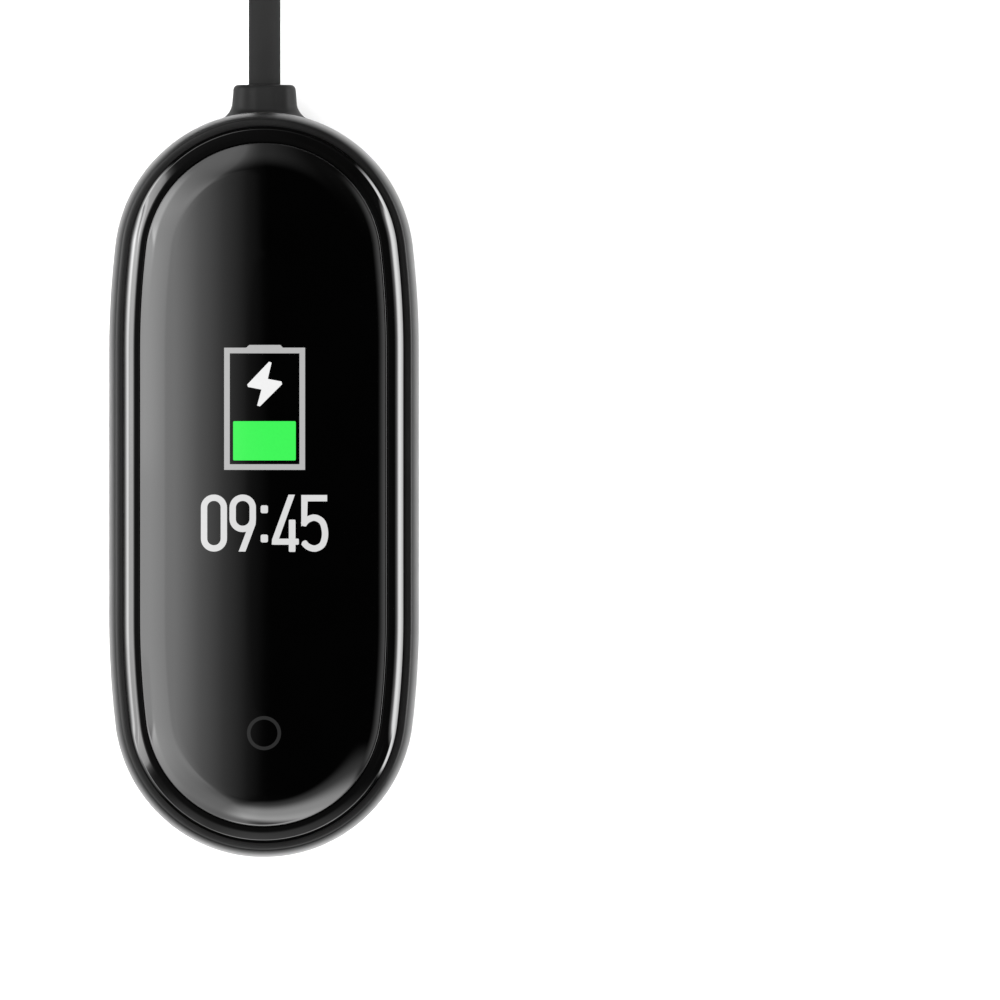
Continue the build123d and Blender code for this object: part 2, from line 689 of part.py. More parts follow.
usb_start = BODY_Y + BODY_LENGTH - USB_SEAT
with BuildPart() as plug_shell:
    with Locations((0, usb_start, PLUG_HEIGHT)):
        Box(
            USB_WIDTH,
            USB_SEAT + USB_REACH,
            USB_THICKNESS,
            align=(Align.CENTER, Align.MIN, Align.CENTER),
        )
    fillet(plug_shell.edges().filter_by(Axis.Y), USB_CORNER_RADIUS)
    with Locations((0, usb_start + USB_WALL, PLUG_HEIGHT)):
        Box(
            USB_WIDTH - 2 * USB_WALL,
            USB_SEAT + USB_REACH,
            USB_THICKNESS - 2 * USB_WALL,
            align=(Align.CENTER, Align.MIN, Align.CENTER),
            mode=Mode.SUBTRACT,
        )
    # Latch windows in both broad faces.
    for side in (1, -1):
        with Locations((side * LATCH_X, usb_start + LATCH_Y, PLUG_HEIGHT)):
            Box(LATCH_WIDTH, LATCH_LENGTH, 2 * USB_THICKNESS, mode=Mode.SUBTRACT)
save(plug_shell.part, "plug_shell")

tongue_bottom = PLUG_HEIGHT - USB_THICKNESS / 2 + USB_WALL
tongue_width = USB_WIDTH - 2 * USB_WALL - 2 * TONGUE_SIDE_GAP
with BuildPart() as plug_tongue:
    with Locations((0, usb_start + USB_WALL, tongue_bottom)):
        Box(
            tongue_width,
            USB_SEAT + USB_REACH - TONGUE_END_GAP,
            TONGUE_THICKNESS,
            align=(Align.CENTER, Align.MIN, Align.MIN),
        )
        Box(
            tongue_width,
            TONGUE_ROOT_LENGTH,
            USB_THICKNESS - 2 * USB_WALL,
            align=(Align.CENTER, Align.MIN, Align.MIN),
        )
    fillet(plug_tongue.faces().sort_by(Axis.Y)[-1].edges().filter_by(Axis.X), TONGUE_TIP_ROUND)
save(plug_tongue.part, "plug_tongue")

# The plug's four contacts: (x, length). The outer two are longer.
PLUG_CONTACTS = [(-3.5, 8.6), (-1.0, 7.6), (1.0, 7.6), (3.5, 8.6)]
contact_start = usb_start + USB_WALL + TONGUE_ROOT_LENGTH
with BuildPart() as plug_contacts:
    for x, length in PLUG_CONTACTS:
        with Locations((x, contact_start, tongue_bottom + TONGUE_THICKNESS)):
            Box(
                CONTACT_WIDTH,
                length,
                CONTACT_THICKNESS,
                align=(Align.CENTER, Align.MIN, Align.MIN),
            )
save(plug_contacts.part, "plug_contacts")


# ---------------------------------------------------------------- tracker capsule
with BuildPart() as tracker_housing:
    for height, inset in HULL_SECTIONS:
        with BuildSketch(Plane.XY.offset(height)):
            add(boat(inset))
    loft()
    with BuildSketch(Plane.XY.offset(GROOVE_BOTTOM)):
        add(boat(GROOVE_INSET))
    extrude(amount=RIDGE_BOTTOM - GROOVE_BOTTOM)
    with BuildSketch(Plane.XY.offset(RIDGE_BOTTOM)):
        add(boat(RIDGE_INSET))
    extrude(amount=HOUSING_TOP - RIDGE_BOTTOM)
    fillet(tracker_housing.faces().sort_by(Axis.Z)[-1].edges(), SHOULDER_ROUND)

    # Sensor bump, its cavity and the window's hole.
    for height, slope in ((FLOOR_HEIGHT, 0), (BUMP_BOTTOM, BUMP_SLOPE)):
        with BuildSketch(Plane.XY.offset(height)):
            SlotOverall(BUMP_LENGTH - 2 * slope, BUMP_WIDTH - 2 * slope, rotation=90)
    loft()
    with BuildSketch(Plane.XY.offset(WINDOW_LEDGE)):
        SlotOverall(SENSOR_BAY_LENGTH, SENSOR_BAY_WIDTH, rotation=90)
    extrude(amount=INSIDE_FLOOR - WINDOW_LEDGE, mode=Mode.SUBTRACT)
    with BuildSketch(Plane.XY.offset(BUMP_BOTTOM)):
        SlotOverall(WINDOW_LENGTH + 2 * FIT_GAP, WINDOW_WIDTH + 2 * FIT_GAP, rotation=90)
    extrude(amount=WINDOW_LEDGE - BUMP_BOTTOM, mode=Mode.SUBTRACT)

    # Hollow inside and the glass seat.
    with BuildSketch(Plane.XY.offset(INSIDE_FLOOR)):
        add(boat(INSIDE_INSET))
    extrude(amount=HOUSING_TOP - INSIDE_FLOOR, mode=Mode.SUBTRACT)
    with BuildSketch(Plane.XY.offset(GASKET_BOTTOM)):
        add(boat(GLASS_SEAT_INSET))
    extrude(amount=HOUSING_TOP - GASKET_BOTTOM, mode=Mode.SUBTRACT)

    # Boss over the charging recess, the recess itself and the pads' stepped holes.
    with BuildSketch(Plane.XY.offset(PAD_FACE)):
        with Locations((0, CONTACT_Y)):
            SlotOverall(BLOCK_LENGTH + BOSS_MARGIN, BLOCK_WIDTH + BOSS_MARGIN)
    extrude(amount=BOSS_HEIGHT)
    with BuildSketch(Plane.XY.offset(FLOOR_HEIGHT)):
        with Locations((0, CONTACT_Y)):
            SlotOverall(BLOCK_LENGTH + RECESS_MARGIN, BLOCK_WIDTH + RECESS_MARGIN)
    extrude(amount=PAD_FACE - FLOOR_HEIGHT, mode=Mode.SUBTRACT)
    with Locations(*[(x, y, PAD_FACE) for x, y in CONTACT_POINTS]):
        for radius, depth in ((PAD_RADIUS, PAD_THICKNESS), (PAD_STEM_RADIUS, BOSS_HEIGHT)):
            Cylinder(
                radius + SLIP_GAP,
                depth,
                align=(Align.CENTER, Align.CENTER, Align.MIN),
                mode=Mode.SUBTRACT,
            )
save(tracker_housing.part, "tracker_housing")

with BuildPart() as cover_glass:
    with BuildSketch(Plane.XY.offset(GLASS_BOTTOM)):
        add(boat(GLASS_SEAT_INSET + FIT_GAP))
    extrude(amount=GLASS_TOP - GLASS_BOTTOM)
    fillet(cover_glass.faces().sort_by(Axis.Z)[-1].edges(), GLASS_ROUND)
save(cover_glass.part, "cover_glass")

with BuildPart() as glass_gasket:
    with BuildSketch(Plane.XY.offset(GASKET_BOTTOM)):
        add(boat(GASKET_OUTER_INSET))
        add(boat(GASKET_INNER_INSET), mode=Mode.SUBTRACT)
    extrude(amount=GLASS_BOTTOM - GASKET_BOTTOM)
save(glass_gasket.part, "glass_gasket")

with BuildPart() as display_panel:
    with BuildSketch(Plane.XY.offset(DISPLAY_BOTTOM)):
        with Locations((0, DISPLAY_Y)):
            RectangleRounded(DISPLAY_WIDTH, DISPLAY_LENGTH, DISPLAY_CORNER_RADIUS)
    extrude(amount=GLASS_BOTTOM - DISPLAY_BOTTOM)
save(display_panel.part, "display_panel")

with BuildPart() as touch_pad:
    with Locations((0, TOUCH_Y, GASKET_BOTTOM)):
        Cylinder(
            TOUCH_RADIUS,
            GLASS_BOTTOM - GASKET_BOTTOM,
            align=(Align.CENTER, Align.CENTER, Align.MIN),
        )
save(touch_pad.part, "touch_pad")

with BuildPart() as inner_frame:
    with BuildSketch(Plane.XY.offset(FRAME_BOTTOM)):
        add(boat(FRAME_OUTER_INSET))
        add(boat(FRAME_INNER_INSET), mode=Mode.SUBTRACT)
    extrude(amount=DISPLAY_BOTTOM - FRAME_BOTTOM)
    with BuildSketch(Plane.XY.offset(FRAME_PLATE_BOTTOM)):
        add(boat(FRAME_OUTER_INSET))
        with Locations((0, SENSOR_FLEX_Y)):
            Rectangle(FLEX_SLOT_WIDTH, FLEX_SLOT_LENGTH, mode=Mode.SUBTRACT)
    extrude(amount=MAIN_BOARD_BOTTOM - FRAME_PLATE_BOTTOM)
save(inner_frame.part, "inner_frame")

with BuildPart() as main_board:
    with BuildSketch(Plane.XY.offset(MAIN_BOARD_BOTTOM)):
        add(boat(FRAME_INNER_INSET + FIT_GAP))
    extrude(amount=MAIN_BOARD_TOP - MAIN_BOARD_BOTTOM)
save(main_board.part, "main_board")

# Chips on the main board: (x, y, width, length, height).
CHIPS = [
    (-1.4, 9.8, 5.0, 5.0, 0.9),
    (1.2, 5.2, 4.0, 3.0, 0.8),
    (-3.0, -4.2, 3.0, 3.0, 0.9),
    (3.1, -5.0, 2.0, 2.5, 0.7),
    (2.6, 17.0, 2.0, 1.6, 0.5),
    (-2.6, 17.0, 1.6, 0.8, 0.5),
]
with BuildPart() as board_chips:
    for x, y, width, length, height in CHIPS:
        with Locations((x, y, MAIN_BOARD_TOP)):
            Box(width, length, height, align=(Align.CENTER, Align.CENTER, Align.MIN))
save(board_chips.part, "board_chips")

with BuildPart() as shield_can:
    with Locations((0, SHIELD_Y, MAIN_BOARD_TOP)):
        Box(
            SHIELD_WIDTH,
            SHIELD_LENGTH,
            SHIELD_HEIGHT,
            align=(Align.CENTER, Align.CENTER, Align.MIN),
        )
        Box(
            SHIELD_WIDTH - 2 * SHIELD_WALL,
            SHIELD_LENGTH - 2 * SHIELD_WALL,
            SHIELD_HEIGHT - SHIELD_WALL,
            align=(Align.CENTER, Align.CENTER, Align.MIN),
            mode=Mode.SUBTRACT,
        )
save(shield_can.part, "shield_can")

connector_top = MAIN_BOARD_TOP + CONNECTOR_HEIGHT
with BuildPart() as flex_connector:
    with Locations((0, CONNECTOR_Y, MAIN_BOARD_TOP)):
        Box(
            CONNECTOR_WIDTH,
            CONNECTOR_LENGTH,
            CONNECTOR_HEIGHT,
            align=(Align.CENTER, Align.CENTER, Align.MIN),
        )
save(flex_connector.part, "flex_connector")

with BuildPart() as display_flex:
    with BuildSketch(Plane.YZ):
        with BuildLine():
            Polyline(
                (DISPLAY_FLEX_START_Y, DISPLAY_BOTTOM),
                (DISPLAY_FLEX_BEND_Y, DISPLAY_BOTTOM),
                (DISPLAY_FLEX_LANDING_Y, connector_top + FLEX_THICKNESS),
                (DISPLAY_FLEX_END_Y, connector_top + FLEX_THICKNESS),
                (DISPLAY_FLEX_END_Y, connector_top),
                (DISPLAY_FLEX_LANDING_Y - FLEX_THICKNESS / 2, connector_top),
                (DISPLAY_FLEX_BEND_Y - FLEX_THICKNESS / 2, DISPLAY_BOTTOM - FLEX_THICKNESS),
                (DISPLAY_FLEX_START_Y, DISPLAY_BOTTOM - FLEX_THICKNESS),
                close=True,
            )
        make_face()
    extrude(amount=DISPLAY_FLEX_WIDTH / 2, both=True)
save(display_flex.part, "display_flex")

with BuildPart() as battery:
    with BuildSketch(Plane.XY.offset(SENSOR_BOARD_TOP + BATTERY_LIFT)):
        with Locations((0, BATTERY_Y)):
            RectangleRounded(BATTERY_WIDTH, BATTERY_LENGTH, BATTERY_CORNER_RADIUS)
    extrude(amount=BATTERY_THICKNESS)
    fillet(battery.faces().sort_by(Axis.Z)[-1].edges(), BATTERY_ROUND)
save(battery.part, "battery")

with BuildPart() as sensor_board:
    with BuildSketch(Plane.XY.offset(SENSOR_BOARD_BOTTOM)):
        SlotOverall(SENSOR_BOARD_LENGTH, SENSOR_BOARD_WIDTH, rotation=90)
    extrude(amount=SENSOR_BOARD_TOP - SENSOR_BOARD_BOTTOM)
save(sensor_board.part, "sensor_board")

with BuildPart() as sensor_flex:
    with BuildSketch(Plane.YZ):
        with BuildLine():
            Polyline(
                (SENSOR_FLEX_START_Y, SENSOR_BOARD_TOP),
                (SENSOR_FLEX_START_Y, SENSOR_BOARD_TOP + FLEX_THICKNESS),
                (SENSOR_FLEX_Y + FLEX_THICKNESS, SENSOR_BOARD_TOP + FLEX_THICKNESS),
                (SENSOR_FLEX_Y + FLEX_THICKNESS, MAIN_BOARD_BOTTOM),
                (SENSOR_FLEX_Y, MAIN_BOARD_BOTTOM),
                (SENSOR_FLEX_Y, SENSOR_BOARD_TOP),
                close=True,
            )
        make_face()
    extrude(amount=SENSOR_FLEX_WIDTH / 2, both=True)
save(sensor_flex.part, "sensor_flex")

led_height = SENSOR_BOARD_BOTTOM - WINDOW_FLANGE_TOP - SLIP_GAP
with BuildPart() as sensor_leds:
    with Locations((0, LED_Y, SENSOR_BOARD_BOTTOM), (0, -LED_Y, SENSOR_BOARD_BOTTOM)):
        Box(LED_WIDTH, LED_LENGTH, led_height, align=(Align.CENTER, Align.CENTER, Align.MAX))
save(sensor_leds.part, "sensor_leds")

with BuildPart() as sensor_photodiode:
    with Locations((0, 0, SENSOR_BOARD_BOTTOM)):
        Box(
            PHOTODIODE_WIDTH,
            PHOTODIODE_LENGTH,
            led_height,
            align=(Align.CENTER, Align.CENTER, Align.MAX),
        )
save(sensor_photodiode.part, "sensor_photodiode")

with BuildPart() as sensor_window:
    with BuildSketch(Plane.XY.offset(BUMP_BOTTOM)):
        SlotOverall(WINDOW_LENGTH, WINDOW_WIDTH, rotation=90)
    extrude(amount=WINDOW_LEDGE - BUMP_BOTTOM)
    with BuildSketch(Plane.XY.offset(WINDOW_LEDGE)):
        SlotOverall(WINDOW_FLANGE_LENGTH, WINDOW_FLANGE_WIDTH, rotation=90)
    extrude(amount=WINDOW_FLANGE_TOP - WINDOW_LEDGE)
save(sensor_window.part, "sensor_window")

pad = turned(
    (0, PAD_FACE),
    (PAD_RADIUS, PAD_FACE),
    (PAD_RADIUS, PAD_FACE + PAD_THICKNESS),
    (PAD_STEM_RADIUS, PAD_FACE + PAD_THICKNESS),
    (PAD_STEM_RADIUS, PAD_FACE + PAD_STEM_LENGTH),
    (0, PAD_FACE + PAD_STEM_LENGTH),
)
with BuildPart() as charge_pads:
    with Locations(*CONTACT_POINTS):
        add(pad)
save(charge_pads.part, "charge_pads")

with BuildPart() as motor_case:
    with Locations((0, MOTOR_Y, MOTOR_BOTTOM)):
        Cylinder(
            MOTOR_RADIUS,
            FRAME_PLATE_BOTTOM - MOTOR_BOTTOM,
            align=(Align.CENTER, Align.CENTER, Align.MIN),
        )
        Cylinder(
            MOTOR_RADIUS - MOTOR_WALL,
            FRAME_PLATE_BOTTOM - MOTOR_BOTTOM - MOTOR_WALL,
            align=(Align.CENTER, Align.CENTER, Align.MIN),
            mode=Mode.SUBTRACT,
        )
save(motor_case.part, "motor_case")

motor_base_top = MOTOR_BOTTOM + MOTOR_BASE_THICKNESS
with BuildPart() as motor_base:
    with Locations((0, MOTOR_Y, MOTOR_BOTTOM)):
        Cylinder(
            MOTOR_RADIUS - MOTOR_WALL - SLIP_GAP,
            MOTOR_BASE_THICKNESS,
            align=(Align.CENTER, Align.CENTER, Align.MIN),
        )
save(motor_base.part, "motor_base")

with BuildPart() as motor_shaft:
    with Locations((0, MOTOR_Y, motor_base_top)):
        Cylinder(
            SHAFT_RADIUS,
            FRAME_PLATE_BOTTOM - MOTOR_WALL - motor_base_top,
            align=(Align.CENTER, Align.CENTER, Align.MIN),
        )
save(motor_shaft.part, "motor_shaft")

rotor_bottom = motor_base_top + ROTOR_GAP
with BuildPart() as motor_rotor:
    with BuildSketch(Plane.XY.offset(rotor_bottom)):
        with Locations((0, MOTOR_Y)):
            Circle(ROTOR_RADIUS)
            Rectangle(
                ROTOR_SPAN,
                ROTOR_REACH,
                align=(Align.CENTER, Align.MIN),
                mode=Mode.INTERSECT,
            )
    extrude(amount=ROTOR_THICKNESS)
    with Locations((0, MOTOR_Y, rotor_bottom)):
        Cylinder(HUB_RADIUS, HUB_HEIGHT, align=(Align.CENTER, Align.CENTER, Align.MIN))
        Cylinder(
            ROTOR_BORE,
            HUB_HEIGHT,
            align=(Align.CENTER, Align.CENTER, Align.MIN),
            mode=Mode.SUBTRACT,
        )
save(motor_rotor.part, "motor_rotor")
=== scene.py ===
import math

import bmesh
import bpy
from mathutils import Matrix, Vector


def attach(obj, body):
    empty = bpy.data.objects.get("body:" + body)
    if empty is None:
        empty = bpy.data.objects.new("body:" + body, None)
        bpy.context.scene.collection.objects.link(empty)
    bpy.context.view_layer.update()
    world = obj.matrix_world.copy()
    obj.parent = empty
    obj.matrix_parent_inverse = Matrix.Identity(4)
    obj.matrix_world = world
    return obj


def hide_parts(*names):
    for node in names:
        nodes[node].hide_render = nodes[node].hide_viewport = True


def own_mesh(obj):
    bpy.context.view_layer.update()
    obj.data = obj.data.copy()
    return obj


# A fitness tracker capsule in its charging dock. The part's lengths are in millimetres until
# they reach Blender. Those of the floor and of the fill light are in metres.
MM = 0.001

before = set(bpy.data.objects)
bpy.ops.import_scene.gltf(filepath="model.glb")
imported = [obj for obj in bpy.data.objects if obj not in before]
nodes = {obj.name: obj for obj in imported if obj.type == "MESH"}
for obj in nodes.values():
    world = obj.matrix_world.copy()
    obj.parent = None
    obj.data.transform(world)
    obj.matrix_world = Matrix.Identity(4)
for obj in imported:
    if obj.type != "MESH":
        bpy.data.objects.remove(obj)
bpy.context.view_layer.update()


# ---------------------------------------------------------------- camera
CAMERA_X = 15.56
CAMERA_Y = -1.01
CAMERA_HEIGHT = 2206
CAMERA_LENS = 1200
SENSOR_WIDTH = 36

camera_data = bpy.data.cameras.new("camera")
camera_data.lens = CAMERA_LENS
camera_data.sensor_width = SENSOR_WIDTH
camera = bpy.data.objects.new("camera", camera_data)
camera.location = (CAMERA_X * MM, CAMERA_Y * MM, CAMERA_HEIGHT * MM)
bpy.context.scene.collection.objects.link(camera)
bpy.context.scene.camera = camera


# ---------------------------------------------------------------- material helpers
class Nodes:
    """Short calls that add nodes to one material or world."""

    def __init__(self, tree):
        self.tree = tree

    def add(self, kind, **settings):
        node = self.tree.nodes.new(kind)
        for name, value in settings.items():
            setattr(node, name, value)
        return node

    def link(self, output, socket):
        self.tree.links.new(output, socket)

    def feed(self, socket, value):
        if isinstance(value, bpy.types.NodeSocket):
            self.link(value, socket)
        else:
            socket.default_value = value

    def math(self, operation, first, second=0.0):
        node = self.add("ShaderNodeMath", operation=operation)
        self.feed(node.inputs[0], first)
        self.feed(node.inputs[1], second)
        return node.outputs[0]

    def plus(self, total, *values):
        for value in values:
            total = self.math("ADD", total, value)
        return total

    def times(self, product, *values):
        for value in values:
            product = self.math("MULTIPLY", product, value)
        return product

    def ease(self, value, low, high, start=0.0, end=1.0):
        """Runs smoothly from start to end while value runs from low to high."""
        node = self.add("ShaderNodeMapRange", interpolation_type="SMOOTHSTEP")
        self.feed(node.inputs["Value"], value)
        node.inputs["From Min"].default_value = low
        node.inputs["From Max"].default_value = high
        node.inputs["To Min"].default_value = start
        node.inputs["To Max"].default_value = end
        return node.outputs["Result"]

    def spread(self, value, start, end):
        """Runs evenly from start to end while value runs from 0 to 1."""
        node = self.add("ShaderNodeMapRange")
        self.feed(node.inputs["Value"], value)
        node.inputs["To Min"].default_value = start
        node.inputs["To Max"].default_value = end
        return node.outputs["Result"]

    def noise(self, scale, detail=2.0, rough=0.5, stretch=(1, 1, 1)):
        place = self.add("ShaderNodeTexCoord")
        mapping = self.add("ShaderNodeMapping")
        mapping.inputs["Scale"].default_value = stretch
        self.link(place.outputs["Object"], mapping.inputs["Vector"])
        node = self.add("ShaderNodeTexNoise")
        node.inputs["Scale"].default_value = scale
        node.inputs["Detail"].default_value = detail
        node.inputs["Roughness"].default_value = rough
        self.link(mapping.outputs["Vector"], node.inputs["Vector"])
        return node.outputs["Fac"]

    def blend(self, factor, first, second):
        node = self.add("ShaderNodeMix", data_type="RGBA")
        self.feed(node.inputs[0], factor)
        self.feed(node.inputs[6], first)
        self.feed(node.inputs[7], second)
        return node.outputs[2]

    def bump(self, height, strength, distance):
        node = self.add("ShaderNodeBump")
        node.inputs["Strength"].default_value = strength
        node.inputs["Distance"].default_value = distance
        self.link(height, node.inputs["Height"])
        return node.outputs["Normal"]


def new_material(name):
    material = bpy.data.materials.new(name)
    material.use_nodes = True
    material.node_tree.nodes.clear()
    kit = Nodes(material.node_tree)
    shader = kit.add("ShaderNodeBsdfPrincipled")
    output = kit.add("ShaderNodeOutputMaterial")
    kit.link(shader.outputs["BSDF"], output.inputs["Surface"])
    return material, kit, shader


def grey(value):
    return (value, value, value, 1.0)


# Of the plastics, the rubber and the glass alike.
REFRACTIVE_INDEX = 1.5


def moulded(name, dark, light, gloss, matt, grain=0.0, grain_depth=0.01, shine=0.5):
    """Moulded plastic or rubber: a fine moulded grain, uneven gloss and faint handling marks."""
    material, kit, shader = new_material(name)
    cloud = kit.noise(380, detail=3)
    marks = kit.noise(900, detail=4, stretch=(1, 0.12, 1))
    tone = kit.math("MULTIPLY_ADD", marks, 0.35)
    kit.link(kit.times(cloud, 0.65), tone.node.inputs[2])
    kit.link(kit.blend(tone, dark, light), shader.inputs["Base Color"])
    kit.link(kit.spread(cloud, gloss, matt), shader.inputs["Roughness"])
    if grain > 0:
        fine = kit.noise(grain, detail=2, rough=0.6)
        kit.link(kit.bump(fine, 0.5, grain_depth * MM), shader.inputs["Normal"])
    shader.inputs["IOR"].default_value = REFRACTIVE_INDEX
    shader.inputs["Specular IOR Level"].default_value = shine
    return material


def metal(name, colour, worn, smooth, rough, brushed=(1, 1, 1)):
    """Plated or drawn metal: fine drawn lines and worn patches."""
    material, kit, shader = new_material(name)
    lines = kit.noise(2600, detail=3, stretch=brushed)
    patches = kit.noise(700, detail=4, rough=0.65)
    kit.link(kit.blend(kit.ease(patches, 0.45, 0.75), colour, worn), shader.inputs["Base Color"])
    kit.link(kit.spread(patches, smooth, rough), shader.inputs["Roughness"])
    kit.link(kit.bump(lines, 0.25, 0.006 * MM), shader.inputs["Normal"])
    shader.inputs["Metallic"].default_value = 1.0
    return material


# ---------------------------------------------------------------- world and floor
# These two keep divisions away from zero.
SIDE_GUARD = 0.0001
SLANT_GUARD = 0.001
FAINTEST_LIGHT = 0.004
# The soft box: how far left a direction points, and its brightness there.
BOX_STOPS = [(0.0, 0.0), (0.03, 0.19), (0.065, 0.8), (0.1, 1.9), (0.136, 3.9), (0.22, 4.9), (0.65, 5.9)]
BOX_SCALE = 8.0


def build_world():
    """A studio seen by direction: a soft box on the left, a low strip on each side, a soft front light.

    x, y and z are the parts of a direction of length 1. Each light is made of eases over them,
    which say where it begins, where it ends and how bright it is there.
    """
    world = bpy.data.worlds.new("studio")
    bpy.context.scene.world = world
    world.use_nodes = True
    world.node_tree.nodes.clear()
    kit = Nodes(world.node_tree)
    place = kit.add("ShaderNodeTexCoord")
    direction = kit.add("ShaderNodeSeparateXYZ")
    kit.link(place.outputs["Generated"], direction.inputs[0])
    x, y, z = direction.outputs

    across = kit.math("SQRT", kit.plus(kit.times(x, x), kit.times(y, y)))
    side = kit.math("DIVIDE", x, kit.plus(across, SIDE_GUARD))
    toward_front = kit.math("DIVIDE", kit.times(y, -1.0), kit.plus(across, SIDE_GUARD))

    # Soft box over the left side, which the crowned glass shows as a long gradient.
    ramp = kit.add("ShaderNodeValToRGB")
    ramp.color_ramp.interpolation = "LINEAR"
    elements = ramp.color_ramp.elements
    while len(elements) < len(BOX_STOPS):
        elements.new(0.5)
    for element, (position, level) in zip(elements, BOX_STOPS):
        element.position = position
        element.color = grey(level / BOX_SCALE)
    kit.link(kit.times(x, -1.0), ramp.inputs[0])
    box = kit.times(ramp.outputs[0], BOX_SCALE)
    # It is weaker towards both ends, and hangs lower there.
    box = kit.times(
        box,
        kit.ease(toward_front, -0.8, -0.35, 0.42, 1.0),
        kit.ease(toward_front, 0.2, 0.75, 1.0, 0.5),
    )
    hang = kit.plus(kit.ease(y, -0.25, -0.05, 0.18, 0.0), kit.ease(y, 0.05, 0.25, 0.0, 0.18))
    box = kit.times(box, kit.ease(kit.plus(z, hang), 0.66, 0.74))

    # Strips on both sides, brightest a little above the floor, which draw the lines along the
    # shoulders.
    end_on = kit.math("ABSOLUTE", toward_front)
    upper = kit.times(kit.ease(z, 0.66, 0.74, 5.9, 0.0), kit.ease(end_on, 0.1, 0.35, 1.0, 0.35))
    left = kit.plus(kit.ease(z, 0.28, 0.5, 5.6, 0.0), upper)
    # The left strip runs on past the back nose, and fades soon round the front one.
    past_back = kit.times(kit.ease(side, -0.9, -0.66, 1.0, 0.0), kit.ease(y, 0.0, 0.18, 1.0, 1.45))
    past_front = kit.plus(
        kit.times(kit.math("POWER", kit.math("ABSOLUTE", side), 24.0), 0.75),
        kit.ease(side, -0.86, -0.7, 0.2, 0.0),
        kit.ease(y, -0.04, 0.04, 0.0, 2.0),
    )
    left = kit.times(
        left,
        kit.math("MINIMUM", past_back, past_front),
        kit.ease(z, 0.03, 0.27, 0.03, 1.0),
        kit.ease(z, -0.03, 0.02),
    )
    # The right strip reaches further round the back nose than round the front one.
    past_back = kit.times(kit.ease(side, 0.67, 0.94), kit.ease(y, -0.2, 0.1))
    right = kit.times(
        kit.plus(kit.ease(z, 0.28, 0.54, 9.8, 0.0), kit.ease(z, 0.5, 0.74, 1.7, 0.0)),
        kit.math("MAXIMUM", past_back, kit.ease(side, 0.84, 0.95)),
        kit.ease(z, 0.0, 0.2, 0.45, 1.0),
        kit.ease(z, -0.03, 0.02),
    )

    # Soft light from the front, which the glass's lower edge shows as a crescent.
    lean = kit.plus(y, kit.times(x, 0.25))
    slant = kit.math("DIVIDE", x, kit.math("SUBTRACT", SLANT_GUARD, y))
    front = kit.plus(
        kit.ease(lean, -0.44, -0.16, 5.0, 0.0),
        kit.ease(lean, -0.64, -0.46, 1.8, 0.0),
        kit.ease(lean, -0.2, 0.0, 0.9, 0.0),
    )
    front = kit.times(
        front,
        kit.ease(lean, -0.76, -0.62, 0.12, 1.0),
        kit.ease(slant, -0.55, -0.1, 0.1, 1.0),
        kit.ease(x, 0.62, 0.74, 1.0, 0.0),
        kit.ease(z, 0.44, 0.6),
    )

    # Weak light from behind.
    back = kit.times(
        kit.ease(y, 0.05, 0.55, 0.0, 0.6), kit.ease(x, -0.1, 0.35, 1.0, 0.12), kit.ease(z, 0.55, 0.66)
    )

    studio = kit.add("ShaderNodeBackground")
    kit.link(kit.plus(box, left, right, front, back, FAINTEST_LIGHT), studio.inputs["Color"])
    # The camera sees a white backdrop in place of the studio.
    backdrop = kit.add("ShaderNodeBackground")
    backdrop.inputs["Color"].default_value = grey(1.0)
    seen = kit.add("ShaderNodeLightPath")
    mix = kit.add("ShaderNodeMixShader")
    kit.link(seen.outputs["Is Camera Ray"], mix.inputs[0])
    kit.link(studio.outputs[0], mix.inputs[1])
    kit.link(backdrop.outputs[0], mix.inputs[2])
    output = kit.add("ShaderNodeOutputWorld")
    kit.link(mix.outputs[0], output.inputs["Surface"])


FLOOR_REACH = 4.0


def build_floor():
    mesh = bpy.data.meshes.new("floor")
    corners = [(FLOOR_REACH * sx, FLOOR_REACH * sy, 0) for sx, sy in ((-1, -1), (1, -1), (1, 1), (-1, 1))]
    mesh.from_pydata(corners, [], [(0, 1, 2, 3)])
    floor = bpy.data.objects.new("floor", mesh)
    bpy.context.scene.collection.objects.link(floor)
    material, kit, shader = new_material("floor_paper")
    kit.link(kit.blend(kit.noise(60, detail=4), grey(0.79), grey(0.82)), shader.inputs["Base Color"])
    shader.inputs["Roughness"].default_value = 0.9
    shader.inputs["Specular IOR Level"].default_value = 0.1
    mesh.materials.append(material)


FILL_PLACE = (0.55, 0.15, 0.7)
FILL_SIZE = 0.7
FILL_POWER = 6.0


def build_fill():
    """A soft panel over the right side. It lights the floor and shows in no gloss."""
    data = bpy.data.lights.new("fill", "AREA")
    data.size = FILL_SIZE
    data.energy = FILL_POWER
    fill_light = bpy.data.objects.new("fill", data)
    fill_light.location = FILL_PLACE
    toward = Vector((0, 0, 0)) - fill_light.location
    fill_light.rotation_euler = toward.to_track_quat("-Z", "Y").to_euler()
    fill_light.visible_glossy = False
    fill_light.visible_camera = False
    bpy.context.scene.collection.objects.link(fill_light)


build_world()
build_floor()
build_fill()
bpy.context.scene.view_settings.view_transform = "Standard"


# ---------------------------------------------------------------- main sizes
HALF_WIDTH = 10.2
HALF_LENGTH = 24.55
NOSE = 9.85
NOSE_Y = HALF_LENGTH - NOSE
FLANK = 60.0
CAVITY_FLOOR = 4.0
CONTACT_Y = -17.35
NECK_TIP = 26.42
NECK_TIP_ROUND = 0.3
LEAD_DIAMETER = 2.1
LEAD_HEIGHT = 3.1
COIL_RADIUS = 10.5
COIL_Y = 45.6
COIL_LAYER = 2.2
GLASS_TOP = 15.4
GLASS_INSET = 2.1
CROWN_RADIUS = 92.0


# ---------------------------------------------------------------- the lead
FLOOR_LEAD_HEIGHT = 1.1
